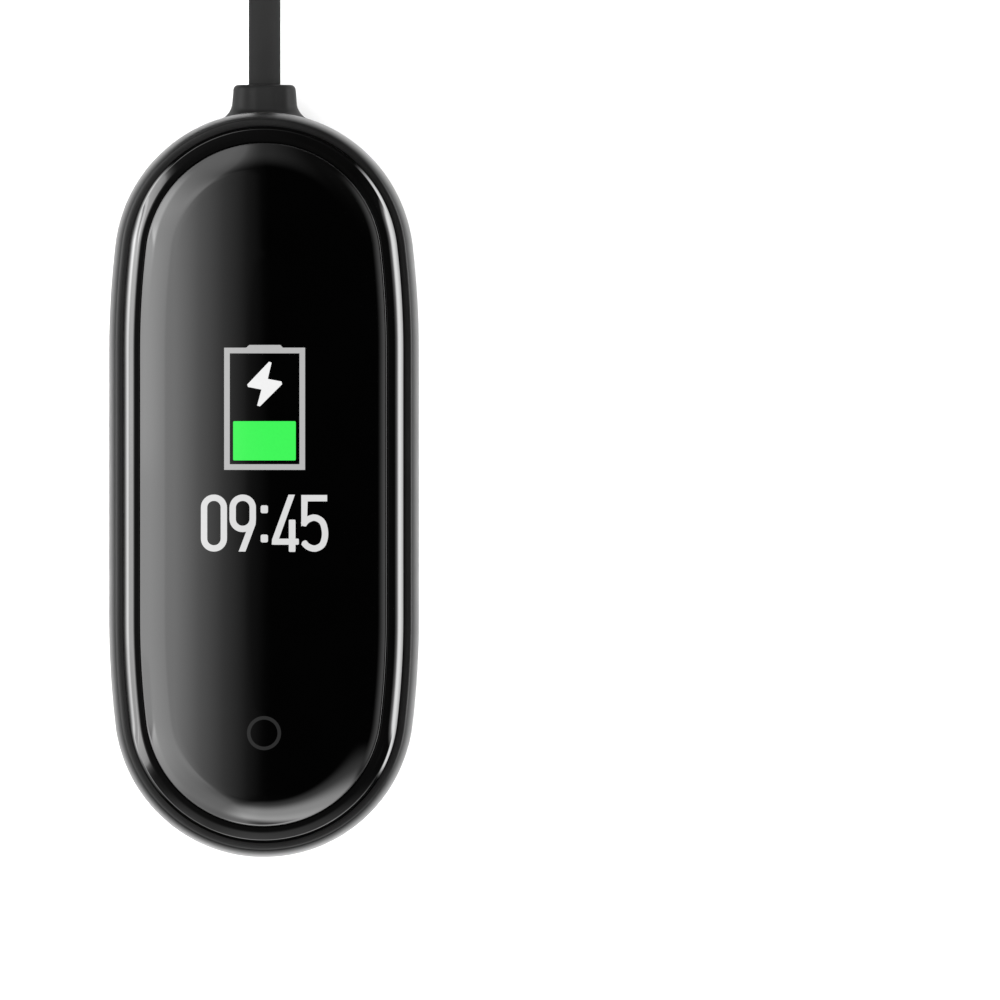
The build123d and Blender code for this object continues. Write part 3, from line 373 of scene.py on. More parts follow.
# Where the lead starts inside the neck, bends down past it, and reaches the floor.
LEAD_START_Y = 22.8
LEAD_BEND_Y = 31.4
LEAD_FLOOR_Y = 40.4
POINTS_PER_TURN = 18
# Angles round the coil where the lead climbs a layer, and where the tie lifts it.
CLIMB_START = 250
CLIMB_SWEEP = 90
TIE_ANGLE = 180
TIE_SWEEP = 40
TIE_LIFT = 0.3
COIL_EXIT_HEIGHT = FLOOR_LEAD_HEIGHT + 2 * COIL_LAYER
PLUG_HEIGHT = 3.8
PLUG_ENTRY_Y = 60.0


def coil_rise(angle):
    """How high the lead lies at an angle round its coil, in degrees from where it enters."""
    turn, part = divmod(angle, 360)
    climb = min(max((part - CLIMB_START) / CLIMB_SWEEP, 0), 1)
    climb = climb * climb * (3 - 2 * climb)
    over_tie = max(0, 1 - abs(part - TIE_ANGLE) / TIE_SWEEP)
    return FLOOR_LEAD_HEIGHT + COIL_LAYER * (turn + climb) + TIE_LIFT * over_tie


lead_points = [
    (0, LEAD_START_Y, LEAD_HEIGHT),
    (0, LEAD_BEND_Y, LEAD_HEIGHT),
    (0, LEAD_FLOOR_Y, FLOOR_LEAD_HEIGHT),
    (0, COIL_Y, FLOOR_LEAD_HEIGHT),
]
for step in range(1, 2 * POINTS_PER_TURN):
    angle = 360 * step / POINTS_PER_TURN
    lead_points.append(
        (
            COIL_RADIUS * (math.cos(math.radians(angle)) - 1),
            COIL_Y + COIL_RADIUS * math.sin(math.radians(angle)),
            coil_rise(angle),
        )
    )
lead_points += [
    (0, COIL_Y, COIL_EXIT_HEIGHT),
    (0, COIL_Y + 4.5, COIL_EXIT_HEIGHT),
    (0, COIL_Y + 9.9, PLUG_HEIGHT),
    (0, PLUG_ENTRY_Y, PLUG_HEIGHT),
]

lead_curve = bpy.data.curves.new("lead", "CURVE")
lead_curve.dimensions = "3D"
lead_curve.bevel_depth = LEAD_DIAMETER / 2 * MM
lead_curve.bevel_resolution = 12
lead_curve.resolution_u = 16
lead_curve.use_fill_caps = True
spline = lead_curve.splines.new("NURBS")
spline.points.add(len(lead_points) - 1)
for point, place in zip(spline.points, lead_points):
    point.co = (*(Vector(place) * MM), 1.0)
spline.order_u = 3
spline.use_endpoint_u = True
spline.use_smooth = True
lead = bpy.data.objects.new("lead", lead_curve)
bpy.context.scene.collection.objects.link(lead)


# ---------------------------------------------------------------- materials of the pieces
BLACK_PLASTIC = moulded("dock_moulding", grey(0.003), grey(0.0055), 0.26, 0.36, 5200, 0.006, shine=0.17)
LEAD_RUBBER = moulded("lead_sheath", grey(0.009), grey(0.014), 0.64, 0.76, 3600, 0.01, shine=0.03)
NECK_PLASTIC = moulded("neck_moulding", grey(0.0055), grey(0.009), 0.44, 0.56, 4200, 0.008, shine=0.1)
TIE_RUBBER = moulded("tie_moulding", grey(0.007), grey(0.012), 0.5, 0.62, 2600, 0.02, shine=0.14)
SPRING_STEEL = metal("spring_wire", (0.55, 0.55, 0.56, 1), (0.4, 0.4, 0.42, 1), 0.22, 0.36)
lead_curve.materials.append(LEAD_RUBBER)


# ---------------------------------------------------------------- mesh helpers
NOSE_STEPS = 84
FLANK_STEPS = 8
SIDE_STEPS = 12
SLOT_STEPS = 24


def make_outline():
    """Points round the dock's plan outline, each with its outward direction."""
    flank_x = FLANK - HALF_WIDTH
    reach = math.sqrt((FLANK - NOSE) ** 2 - flank_x**2)
    swing = math.degrees(math.atan2(reach, flank_x))
    flank_y = NOSE_Y - reach
    # Each arc's centre, radius, first angle, last angle and steps.
    arcs = [
        ((-flank_x, flank_y), FLANK, 0, swing, FLANK_STEPS),
        ((0, NOSE_Y), NOSE, swing, 180 - swing, NOSE_STEPS),
        ((flank_x, flank_y), FLANK, 180 - swing, 180, FLANK_STEPS),
        ((flank_x, -flank_y), FLANK, 180, 180 + swing, FLANK_STEPS),
        ((0, -NOSE_Y), NOSE, 180 + swing, 360 - swing, NOSE_STEPS),
        ((-flank_x, -flank_y), FLANK, 360 - swing, 360, FLANK_STEPS),
    ]
    found = []
    for number, ((cx, cy), radius, start, end, steps) in enumerate(arcs):
        for step in range(steps):
            turn = math.radians(start + (end - start) * step / steps)
            out = (math.cos(turn), math.sin(turn))
            found.append(((cx + radius * out[0], cy + radius * out[1]), out))
        # A straight side follows the third arc and the last.
        if number in (2, 5):
            sign = -1 if number == 2 else 1
            for step in range(SIDE_STEPS):
                y = -sign * flank_y + sign * 2 * flank_y * step / SIDE_STEPS
                found.append(((sign * HALF_WIDTH, y), (sign, 0)))
    return found


OUTLINE = make_outline()


def boat(inset, z):
    """The dock's outline moved inwards by inset, at height z, which may be a function of x and y."""
    points = []
    for (x, y), (nx, ny) in OUTLINE:
        px = x - inset * nx
        py = y - inset * ny
        points.append((px, py, z(px, py) if callable(z) else z))
    return points


def slot(length, width, z, y=0.0, along="Y"):
    """A slot outline with round ends."""
    half = (length - width) / 2
    points = []
    for end, start in ((1, -90), (-1, 90)):
        for step in range(SLOT_STEPS + 1):
            turn = math.radians(start + 180 * step / SLOT_STEPS)
            u = end * half + width / 2 * math.cos(turn)
            v = width / 2 * math.sin(turn)
            points.append((-v, y + u, z) if along == "Y" else (u, y + v, z))
    return points


def ring(bm, points):
    return [bm.verts.new(Vector(point) * MM) for point in points]


def band(bm, first, second):
    """Quads between two closed loops with the same number of points."""
    count = len(first)
    for i in range(count):
        j = (i + 1) % count
        bm.faces.new((first[i], first[j], second[j], second[i]))


def bands(bm, loops):
    """Closed loops joined one to the next. Returns the first and the last."""
    rings = [ring(bm, loop) for loop in loops]
    for first, second in zip(rings, rings[1:]):
        band(bm, first, second)
    return rings[0], rings[-1]


def fill(bm, *loops):
    """Flat faces inside the first loop and outside the others."""
    edges = []
    for loop in loops:
        for first, second in zip(loop, loop[1:] + loop[:1]):
            edges.append(bm.edges.get((first, second)) or bm.edges.new((first, second)))
    bmesh.ops.triangle_fill(bm, use_beauty=True, edges=edges)


def finish_mesh(name, bm, material, body, crease=30, stands_for=()):
    """Turns built geometry into a piece on a body, smooth but for edges sharper than crease degrees."""
    bmesh.ops.recalc_face_normals(bm, faces=bm.faces)
    mesh = bpy.data.meshes.new(name)
    bm.to_mesh(mesh)
    bm.free()
    for face in mesh.polygons:
        face.use_smooth = True
    mesh.set_sharp_from_angle(angle=math.radians(crease))
    mesh.materials.append(material)
    piece = bpy.data.objects.new(name, mesh)
    bpy.context.scene.collection.objects.link(piece)
    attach(piece, body)
    if stands_for:
        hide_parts(*stands_for)
    return piece


def quarter(steps):
    """Sines and cosines from 0 to 90 degrees."""
    for step in range(steps + 1):
        turn = math.pi / 2 * step / steps
        yield math.sin(turn), math.cos(turn)


# ---------------------------------------------------------------- dock
DOCK_RIM = 12.0
SHOULDER_WIDTH = 0.6
SHOULDER_DROP = 2.2
RIM_INSET = 0.97
RIM_ROUND = 0.06
FOOT_ROUND = 0.6
BAY_INSET = 1.6
BAY_TOP = 3.2
COVER_INSET = 1.0
COVER_TOP = 1.0
# The cavity's wall: heights from the rim down to the floor, and its inset at each.
CAVITY_WALL = [(10.6, RIM_INSET), (9.4, RIM_INSET), (8.4, 1.15), (7.5, 1.37), (6.6, 1.6)]
CAVITY_WALL += [(5.7, 1.95), (5.0, 2.33), (4.5, 2.7), (4.15, 3.02), (CAVITY_FLOOR, 3.3)]
POCKET = (19.0, 10.2)
POCKET_DEPTH = 1.0
POCKET_SLOPE = 1.2
POCKET_WALL = 0.7
# How much smaller and lower the pocket is where its edges are broken.
POCKET_BREAK = 0.3
POCKET_BREAK_DROP = 0.05
# The contact block's length and width.
BLOCK = (6.45, 3.05)
BLOCK_GAP = 0.1


def build_dock():
    """The dock's shell: bay and foot below, shoulder and rim outside, cavity with pocket inside."""
    bm = bmesh.new()
    loops = [boat(BAY_INSET, BAY_TOP), boat(BAY_INSET, COVER_TOP), boat(COVER_INSET, COVER_TOP)]
    loops.append(boat(COVER_INSET, 0.0))
    for sine, cosine in quarter(6):
        loops.append(boat(FOOT_ROUND * (1 - sine), FOOT_ROUND * (1 - cosine)))
    for sine, cosine in quarter(14):
        loops.append(boat(SHOULDER_WIDTH * (1 - cosine), DOCK_RIM - SHOULDER_DROP * (1 - sine)))
    for sine, cosine in quarter(3):
        loops.append(boat(RIM_INSET - RIM_ROUND * (1 - sine), DOCK_RIM - RIM_ROUND * (1 - cosine)))
    for height, inset in CAVITY_WALL:
        loops.append(boat(inset, height))
    ceiling, floor = bands(bm, loops)

    length, width = POCKET
    foot = CAVITY_FLOOR - POCKET_DEPTH
    foot_length = length - 2 * POCKET_SLOPE
    foot_width = width - 2 * POCKET_SLOPE
    pocket_top, pocket_foot = bands(
        bm,
        [
            slot(length, width, CAVITY_FLOOR),
            slot(length - POCKET_BREAK, width - POCKET_BREAK, CAVITY_FLOOR - POCKET_BREAK_DROP),
            slot(foot_length + POCKET_BREAK, foot_width + POCKET_BREAK, foot + POCKET_BREAK_DROP),
            slot(foot_length, foot_width, foot),
        ],
    )
    fill(bm, pocket_foot)
    window = (BLOCK[0] + BLOCK_GAP, BLOCK[1] + BLOCK_GAP)
    window_top, window_foot = bands(
        bm, [slot(*window, CAVITY_FLOOR, CONTACT_Y, "X"), slot(*window, BAY_TOP, CONTACT_Y, "X")]
    )
    fill(bm, floor, pocket_top, window_top)
    island = (length + 2 * POCKET_WALL, width + 2 * POCKET_WALL)
    island_top, island_foot = bands(bm, [slot(*island, BAY_TOP), slot(*island, foot - POCKET_WALL)])
    fill(bm, island_foot)
    fill(bm, ceiling, island_top, window_foot)
    finish_mesh("dock_body", bm, BLACK_PLASTIC, "dock", crease=28, stands_for=["dock_shell"])


TAB_Y = -9.05
TAB_FACE_X = 8.5
TAB_ROOT_X = 9.6
TAB_HALF_LENGTH = 2.65
TAB_ROUND = 0.25
# Heights up a tab, and how far its face stands back at each.
TAB_LEVELS = [(7.6, 0.18), (7.68, 0.05), (7.85, 0.0), (9.45, 0.0), (9.62, 0.05), (9.7, 0.18)]


def build_tabs():
    """The two retaining tabs, with softened corners."""
    for side, name in ((-1, "dock_tab_left"), (1, "dock_tab_right")):
        bm = bmesh.new()
        loops = []
        for z, pull in TAB_LEVELS:
            face = TAB_FACE_X + pull
            half = TAB_HALF_LENGTH - pull / 2
            root_half = half + TAB_ROOT_X - face
            loop = [(TAB_ROOT_X, -root_half), (TAB_ROOT_X, root_half)]
            for end, first_angle in ((1, 45), (-1, 0)):
                for step in range(5):
                    turn = math.radians(first_angle - end * 45 * step / 4)
                    x = face + TAB_ROUND * (1 - math.cos(turn))
                    loop.append((x, end * (half - TAB_ROUND + TAB_ROUND * math.sin(turn))))
            loops.append([(side * x, TAB_Y + y, z) for x, y in loop])
        bottom, top = bands(bm, loops)
        fill(bm, bottom)
        fill(bm, top)
        finish_mesh(name, bm, BLACK_PLASTIC, "dock", crease=40)


# ---------------------------------------------------------------- contact springs and coil tie
CONTACT_X = 1.69
# A spring's seat, its wire's axis at the first turn, how far that axis rises, and its radii.
SPRING_BOTTOM = 2.18
SPRING_HEIGHT = 1.62
SPRING_RADIUS = 0.36
WIRE_RADIUS = 0.06
CLOSED_RISE = 2.1 * WIRE_RADIUS
SPRING_TURNS = 6
STEPS_PER_TURN = 28
WIRE_SIDES = 10

# The tie bends with the lead's coil, and spans its lower and its upper turn.
TIE_INNER = LEAD_DIAMETER / 2 + 0.01
TIE_TURN_RADIUS = 10.34
TIE_LOW_TURN = 1.36
TIE_HIGH_TURN = TIE_LOW_TURN + COIL_LAYER
TIE_HALF = 1.2
TIE_STEPS = 48
# Half of the tie's outer face: how far out from its inner face, and how far along the lead.
TIE_FACE = [(0.2, TIE_HALF), (0.28, TIE_HALF - 0.06), (0.3, TIE_HALF - 0.16), (0.3, 0.52)]
TIE_FACE += [(0.25, 0.46), (0.25, 0.36), (0.3, 0.3)]


def spring_rise(turn):
    """How far the wire has risen after some turns. The first and the last turn are closed."""
    middle_turns = SPRING_TURNS - 2
    open_rise = (SPRING_HEIGHT - 2 * CLOSED_RISE) / middle_turns
    closed = min(turn, 1) + max(turn - middle_turns - 1, 0)
    return CLOSED_RISE * closed + open_rise * min(max(turn - 1, 0), middle_turns)


def build_springs():
    """The springs under the contact pins."""
    for side, name in ((-1, "left"), (1, "right")):
        bm = bmesh.new()
        loops = []
        for step in range(SPRING_TURNS * STEPS_PER_TURN + 1):
            turn = step / STEPS_PER_TURN
            angle = 2 * math.pi * turn
            loop = []
            for part in range(WIRE_SIDES):
                round_wire = 2 * math.pi * part / WIRE_SIDES
                reach = SPRING_RADIUS + WIRE_RADIUS * math.cos(round_wire)
                x = side * CONTACT_X + reach * math.cos(angle)
                y = CONTACT_Y + reach * math.sin(angle)
                z = SPRING_BOTTOM + spring_rise(turn) + WIRE_RADIUS * math.sin(round_wire)
                loop.append((x, y, z))
            loops.append(loop)
        start, end = bands(bm, loops)
        fill(bm, start)
        fill(bm, end)
        stands_for = [f"pogo_spring_{name}"]
        spring = finish_mesh(f"contact_spring_{name}", bm, SPRING_STEEL, "dock", 60, stands_for)
        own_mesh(spring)


def build_tie():
    """A rubber band round both turns of the lead, bent with them, with two grooves outside."""
    profile = [(0, TIE_HALF * share) for share in (-1, -0.5, 0, 0.5, 1)]
    profile += TIE_FACE + [(0.3, 0)] + [(out, -along) for out, along in reversed(TIE_FACE)]
    bm = bmesh.new()
    loops = []
    for out, along in profile:
        bend = along / TIE_TURN_RADIUS
        loop = []
        for step in range(TIE_STEPS):
            turn = 2 * math.pi * (step + 0.5) / TIE_STEPS
            middle = TIE_HIGH_TURN if math.sin(turn) > 0 else TIE_LOW_TURN
            reach = TIE_TURN_RADIUS + (TIE_INNER + out) * math.cos(turn)
            x = -COIL_RADIUS - reach * math.cos(bend)
            loop.append((x, COIL_Y + reach * math.sin(bend), middle + (TIE_INNER + out) * math.sin(turn)))
        loops.append(loop)
    rings = [ring(bm, loop) for loop in loops]
    for first, second in zip(rings, rings[1:] + rings[:1]):
        band(bm, first, second)
    finish_mesh("coil_tie_band", bm, TIE_RUBBER, "dock", crease=40, stands_for=["coil_tie"])


# ---------------------------------------------------------------- neck
NECK_HALF_WIDTH = 2.03
NECK_HALF_HEIGHT = 1.8
NECK_CORNER = 1.2
NECK_TAPER = 5
NECK_BORE = 1.4
NECK_BORE_DEPTH = 1.5
# How far the neck's hidden end runs on inside the wall.
NECK_ROOT = 0.8
CORNER_STEPS = 16
FLAT_STEPS = 12
BORE_STEPS = 48
FLUTE_X = 0.98
FLUTE_WIDTH = 0.3
FLUTE_DEPTH = 0.08
FLUTE_LOWEST = 0.8
# The flare into the wall: its radius at the sides, how much less it is above and below, and
# how far its end sinks into the wall.
FLARE_RADIUS = 0.95
FLARE_LOSS = 0.5
FLARE_SINK = 0.004


def neck_section():
    """Places round the neck's section, from its axis, each with its outward direction."""
    points = []
    for sx, sz, start in ((1, 1, 0), (-1, 1, 90), (-1, -1, 180), (1, -1, 270)):
        cx = sx * (NECK_HALF_WIDTH - NECK_CORNER)
        cz = sz * (NECK_HALF_HEIGHT - NECK_CORNER)
        for step in range(CORNER_STEPS + 1):
            turn = math.radians(start + 90 * step / CORNER_STEPS)
            out = (math.cos(turn), math.sin(turn))
            points.append(((cx + NECK_CORNER * out[0], cz + NECK_CORNER * out[1]), out))
        if start in (0, 180):
            for step in range(1, FLAT_STEPS):
                x = cx * (1 - 2 * step / FLAT_STEPS)
                points.append(((x, sz * NECK_HALF_HEIGHT), (0, sz)))
    return points


def flute(x, z):
    """Depth of the two flutes along the top of the neck."""
    if z < FLUTE_LOWEST:
        return 0.0
    return FLUTE_DEPTH * math.exp(-(((abs(x) - FLUTE_X) / FLUTE_WIDTH) ** 2))


def nose_wall(x):
    """Where the dock's wall stands behind the neck."""
    return NOSE_Y + math.sqrt(NOSE**2 - x**2)


def flare_radius(nz):
    """The blend into the wall is wide at the sides and small above and below."""
    return FLARE_RADIUS - FLARE_LOSS * nz * nz


def build_neck():
    """The lead's neck: tapered, fluted on top, and flared where it meets the wall."""
    section = neck_section()
    taper = math.tan(math.radians(NECK_TAPER))
    shoulder = NECK_TIP - NECK_TIP_ROUND

    def place(x, z, nx, nz, y, grow, depth):
        out = (NECK_TIP - y) * taper + grow
        return (x + out * nx, y, LEAD_HEIGHT + z + out * nz - depth * flute(x, z))

    rows = []
    for sine, cosine in quarter(5):
        y = NECK_TIP - NECK_TIP_ROUND * (1 - cosine)
        grow = -NECK_TIP_ROUND * (1 - sine)
        rows.append([place(x, z, nx, nz, y, grow, 1.0) for (x, z), (nx, nz) in section])
    for share in (0.2, 0.4, 0.6, 0.8, 1.0):
        row = []
        for (x, z), (nx, nz) in section:
            y = shoulder + (nose_wall(x) + flare_radius(nz) - shoulder) * share
            row.append(place(x, z, nx, nz, y, 0.0, 1.0))
        rows.append(row)
    # The flare, round which the flutes fade to less than half their depth.
    for sine, cosine in list(quarter(12))[1:]:
        row = []
        for (x, z), (nx, nz) in section:
            radius = flare_radius(nz)
            grow = radius * (1 - cosine)
            px, y, pz = place(x, z, nx, nz, nose_wall(x) + radius, grow, 0.4 + 0.6 * cosine)
            row.append((px, nose_wall(px) + radius * (1 - sine) - FLARE_SINK, pz))
        rows.append(row)
    rows.append([(x, y - NECK_ROOT, z) for x, y, z in rows[-1]])

    bm = bmesh.new()
    tip, sunk = bands(bm, rows)
    fill(bm, sunk)
    bore = []
    for step in range(BORE_STEPS):
        turn = 2 * math.pi * step / BORE_STEPS
        bore.append((NECK_BORE * math.cos(turn), NECK_TIP, LEAD_HEIGHT + NECK_BORE * math.sin(turn)))
    mouth, deep = bands(bm, [bore, [(x, y - NECK_BORE_DEPTH, z) for x, y, z in bore]])
    fill(bm, tip, mouth)
    fill(bm, deep)
    finish_mesh("dock_neck", bm, NECK_PLASTIC, "dock", crease=40)


# ---------------------------------------------------------------- capsule
HOUSING_TOP = 14.5
# The hull below the strap's groove: heights upwards from the floor, and its inset at each.
HULL = [(CAVITY_FLOOR, 3.6), (4.08, 3.42), (4.4, 3.12), (5.0, 2.65), (5.7, 2.3), (6.4, 2.05)]
HULL += [(7.4, 1.92), (8.4, 1.85)]
GROOVE_INSET = 2.4
GROOVE_BOTTOM = 8.42
GROOVE_TOP = 9.98
RIDGE_INSET = 1.0
RIDGE_BOTTOM = 10.0
LIP_INSET = 2.0
SEAT_INSET = 2.05
SEAT_HEIGHT = 14.0
EDGE_BREAK = 0.05
# How steep the shoulder is at each inset from the dock's outline, in degrees: along the
# flanks, round the front nose's tip, and round both noses, where it is nearly level inside.
FLANK_SLOPES = [(1.75, 0), (1.64, 4), (1.6, 20), (1.44, 28), (1.26, 38), (1.16, 41), (1.06, 43), (1.0, 45)]
TIP_SLOPES = [(1.75, 0), (1.6, 3), (1.2, 4), (1.17, 30), (1.1, 40), (1.06, 42), (1.0, 44)]
NOSE_SLOPES = [(1.75, 0), (1.6, 0.5), (1.2, 1), (1.17, 30), (1.1, 40), (1.06, 42), (1.0, 44)]
SHOULDER_STEP = 0.01
# How far from the middle the flank's profile turns into the back nose's and the front nose's,
# and the front nose's into its tip's.
BACK_TURN = (17, 21)
FRONT_TURN = (15.5, 19)
TIP_TURN = (19.5, 22.5)
RECESS_MARGIN = 0.95
RECESS_TOP = 4.92
SENSOR_HOLE = (14.1, 5.3)
BUMP_BOTTOM = 3.2


def shoulder_drops(slopes):
    """How far the shoulder has dropped at each step, from its first inset to its last."""
    drop = 0.0
    drops = [drop]
    steps = round((slopes[0][0] - slopes[-1][0]) / SHOULDER_STEP)
    for step in range(steps):
        middle = slopes[0][0] - (step + 0.5) * SHOULDER_STEP
        for (inset, slope), (next_inset, next_slope) in zip(slopes, slopes[1:]):
            if next_inset <= middle <= inset:
                share = (inset - middle) / (inset - next_inset)
                angle = slope + (next_slope - slope) * share
        drop += SHOULDER_STEP * math.tan(math.radians(angle))
        drops.append(drop)
    return drops


def smooth(value, low, high):
    """Runs smoothly from 0 to 1 while value runs from low to high."""
    share = min(max((value - low) / (high - low), 0), 1)
    return share * share * (3 - 2 * share)


def shoulder_height(flank_drop, nose_drop, tip_drop):
    """The flank's profile turns into the noses' level ledge, which leans again at the front tip."""

    def height(x, y):
        nose = smooth(y, *BACK_TURN) + smooth(-y, *FRONT_TURN)
        drop = flank_drop + (nose_drop - flank_drop) * nose
        return HOUSING_TOP - drop - (tip_drop - drop) * smooth(-y, *TIP_TURN)

    return height


def build_housing():
    """The capsule's shell: hull, groove, ridge and shoulder outside, the glass's seat on top."""
    bm = bmesh.new()
    loops = [boat(inset, height) for height, inset in HULL]
    loops += [boat(GROOVE_INSET, GROOVE_BOTTOM), boat(GROOVE_INSET, GROOVE_TOP)]
    loops += [boat(RIDGE_INSET + EDGE_BREAK, RIDGE_BOTTOM), boat(RIDGE_INSET, RIDGE_BOTTOM + EDGE_BREAK)]
    drops = list(zip(*(shoulder_drops(slopes) for slopes in (FLANK_SLOPES, NOSE_SLOPES, TIP_SLOPES))))
    for step, step_drops in reversed(list(enumerate(drops))):
        inset = FLANK_SLOPES[0][0] - step * SHOULDER_STEP
        loops.append(boat(inset, shoulder_height(*step_drops)))
    loops += [boat(LIP_INSET, HOUSING_TOP), boat(SEAT_INSET, HOUSING_TOP - EDGE_BREAK)]
    loops.append(boat(SEAT_INSET, SEAT_HEIGHT))
    under, seat = bands(bm, loops)
    fill(bm, seat)
    # Sensor bump with the window's hole, and the recess over the dock's contacts.
    bump_root, bump_edge = bands(
        bm,
        [
            slot(18.0, 9.2, CAVITY_FLOOR),
            slot(17.7, 8.9, 3.92),
            slot(16.3, 7.5, 3.26),
            slot(16.0, 7.2, BUMP_BOTTOM),
        ],
    )
    hole_low, hole_high = bands(bm, [slot(*SENSOR_HOLE, BUMP_BOTTOM), slot(*SENSOR_HOLE, CAVITY_FLOOR)])
    fill(bm, bump_edge, hole_low)
    fill(bm, hole_high)
    recess = (BLOCK[0] + RECESS_MARGIN, BLOCK[1] + RECESS_MARGIN)
    recess_low, recess_high = bands(
        bm, [slot(*recess, CAVITY_FLOOR, CONTACT_Y, "X"), slot(*recess, RECESS_TOP, CONTACT_Y, "X")]
    )
    fill(bm, recess_high)
    fill(bm, under, bump_root, recess_low)
    gloss = moulded("capsule_moulding", grey(0.0006), grey(0.0012), 0.025, 0.045, 2600, 0.0006, 0.7)
    finish_mesh("capsule_shell", bm, gloss, "tracker", crease=28, stands_for=["tracker_housing"])


def crown(x):
    """Height of the glass's gently curved face."""
    return GLASS_TOP - x * x / (2 * CROWN_RADIUS)


# Towards its edge the face bends down along an arc, and ends in a small round.
GLASS_BOTTOM = 14.2
EDGE_WIDTH = 1.7
EDGE_ARC = 3.74
EDGE_ROUND = 0.05
EDGE_ROUND_HEIGHT = 0.035
EDGE_STEPS = 24
FACE_STEP = 0.4
FACE_STEPS = 14


def glass_height(inset):
    """Height of the glass at an inset from its edge, as a function of x and y."""
    run = max(EDGE_WIDTH - inset, 0)
    drop = EDGE_ARC - math.sqrt(EDGE_ARC**2 - run**2)
    return lambda x, y: crown(x) - drop


def build_glass():
    """The black cover glass, from its bottom up its side, over its edge and across its face."""
    bm = bmesh.new()
    loops = [boat(GLASS_INSET, GLASS_BOTTOM)]
    side = glass_height(EDGE_ROUND)
    for sine, cosine in quarter(4):
        inset = EDGE_ROUND * (1 - cosine)
        loops.append(boat(GLASS_INSET + inset, lambda x, y: side(x, y) - EDGE_ROUND_HEIGHT * (1 - sine)))
    insets = [EDGE_ROUND + (EDGE_WIDTH - EDGE_ROUND) * step / EDGE_STEPS for step in range(1, EDGE_STEPS + 1)]
    insets += [EDGE_WIDTH + FACE_STEP * step for step in range(1, FACE_STEPS + 1)]
    for inset in insets:
        loops.append(boat(GLASS_INSET + inset, glass_height(inset)))
    bottom, top = bands(bm, loops)
    fill(bm, bottom)
    fill(bm, top)
    material, kit, shader = new_material("cover_glass_black")
    haze = kit.noise(240, detail=4)
    kit.link(kit.blend(haze, grey(0.0001), grey(0.0003)), shader.inputs["Base Color"])
    smears = kit.noise(160, detail=5, rough=0.6, stretch=(1, 0.35, 1))
    kit.link(kit.spread(smears, 0.012, 0.03), shader.inputs["Roughness"])
    shader.inputs["IOR"].default_value = REFRACTIVE_INDEX
    finish_mesh("cover_glass_face", bm, material, "tracker", crease=35, stands_for=["cover_glass"])


# ---------------------------------------------------------------- what the screen shows, and the touch ring's painted glow
# Emissive matter: the screen's own light, and also the touch ring's painted glow.
def glowing_material(name, colour, strength):
    material, kit, shader = new_material(name)
    dots = kit.noise(5200, detail=1)
    shade = tuple(0.94 * part for part in colour[:3]) + (1.0,)
    kit.link(kit.blend(dots, shade, colour), shader.inputs["Emission Color"])
    shader.inputs["Emission Strength"].default_value = strength
    shader.inputs["Base Color"].default_value = grey(0.001)
    kit.link(kit.spread(dots, 0.015, 0.03), shader.inputs["Roughness"])
    shader.inputs["IOR"].default_value = REFRACTIVE_INDEX
    return material


# The shapes are cut into strips along the capsule, so that they bend with the glass.
STRIP_WIDTH = 0.3
STRIP_COUNT = 16
FILM_THICKNESS = 0.03


def lay_on_glass(name, shapes, material, lift=0.01):
    """Flat shapes laid on the crowned glass. A shape is an outer loop and any loops cut out of it."""
    bm = bmesh.new()
    for shape in shapes:
        rings = [ring(bm, [(x, y, 0) for x, y in loop]) for loop in shape]
        fill(bm, *rings)
    for step in range(-STRIP_COUNT, STRIP_COUNT + 1):
        geometry = bm.verts[:] + bm.edges[:] + bm.faces[:]
        cut = (STRIP_WIDTH * step * MM, 0, 0)
        bmesh.ops.bisect_plane(bm, geom=geometry, plane_co=cut, plane_no=(1, 0, 0))
    for vert in bm.verts:
        vert.co.z = (crown(vert.co.x / MM) + lift) * MM
    bmesh.ops.recalc_face_normals(bm, faces=bm.faces)
    grown = bmesh.ops.extrude_face_region(bm, geom=bm.faces[:])
    for item in grown["geom"]:
        if isinstance(item, bmesh.types.BMVert):
            item.co.z -= FILM_THICKNESS * MM
    finish_mesh(name, bm, material, "tracker")


def rectangle(x0, y0, x1, y1, corner=0.0, steps=4):
    """The outline of a rectangle, with round corners if it is given their radius."""
    if corner == 0:
        return [(x0, y0), (x1, y0), (x1, y1), (x0, y1)]
    points = []
    for cx, cy, start in (
        (x1 - corner, y1 - corner, 0),
        (x0 + corner, y1 - corner, 90),
        (x0 + corner, y0 + corner, 180),
        (x1 - corner, y0 + corner, 270),
    ):
        for step in range(steps + 1):
            turn = math.radians(start + 90 * step / steps)
            points.append((cx + corner * math.cos(turn), cy + corner * math.sin(turn)))
    return points


PATH_STEPS = 8


def smooth_path(points):
    """A smooth line through the points."""
    ends = [points[0]] + points + [points[-1]]
    path = []
    for a, b, c, d in zip(ends, ends[1:], ends[2:], ends[3:]):
        for step in range(PATH_STEPS):
            t = step / PATH_STEPS
            place = []
            for k in (0, 1):
                slope = (c[k] - a[k]) * t
                bend = (2 * a[k] - 5 * b[k] + 4 * c[k] - d[k]) * t * t
                twist = (3 * b[k] - a[k] - 3 * c[k] + d[k]) * t**3
                place.append(0.5 * (2 * b[k] + slope + bend + twist))
            path.append(tuple(place))
    path.append(points[-1])
    return path


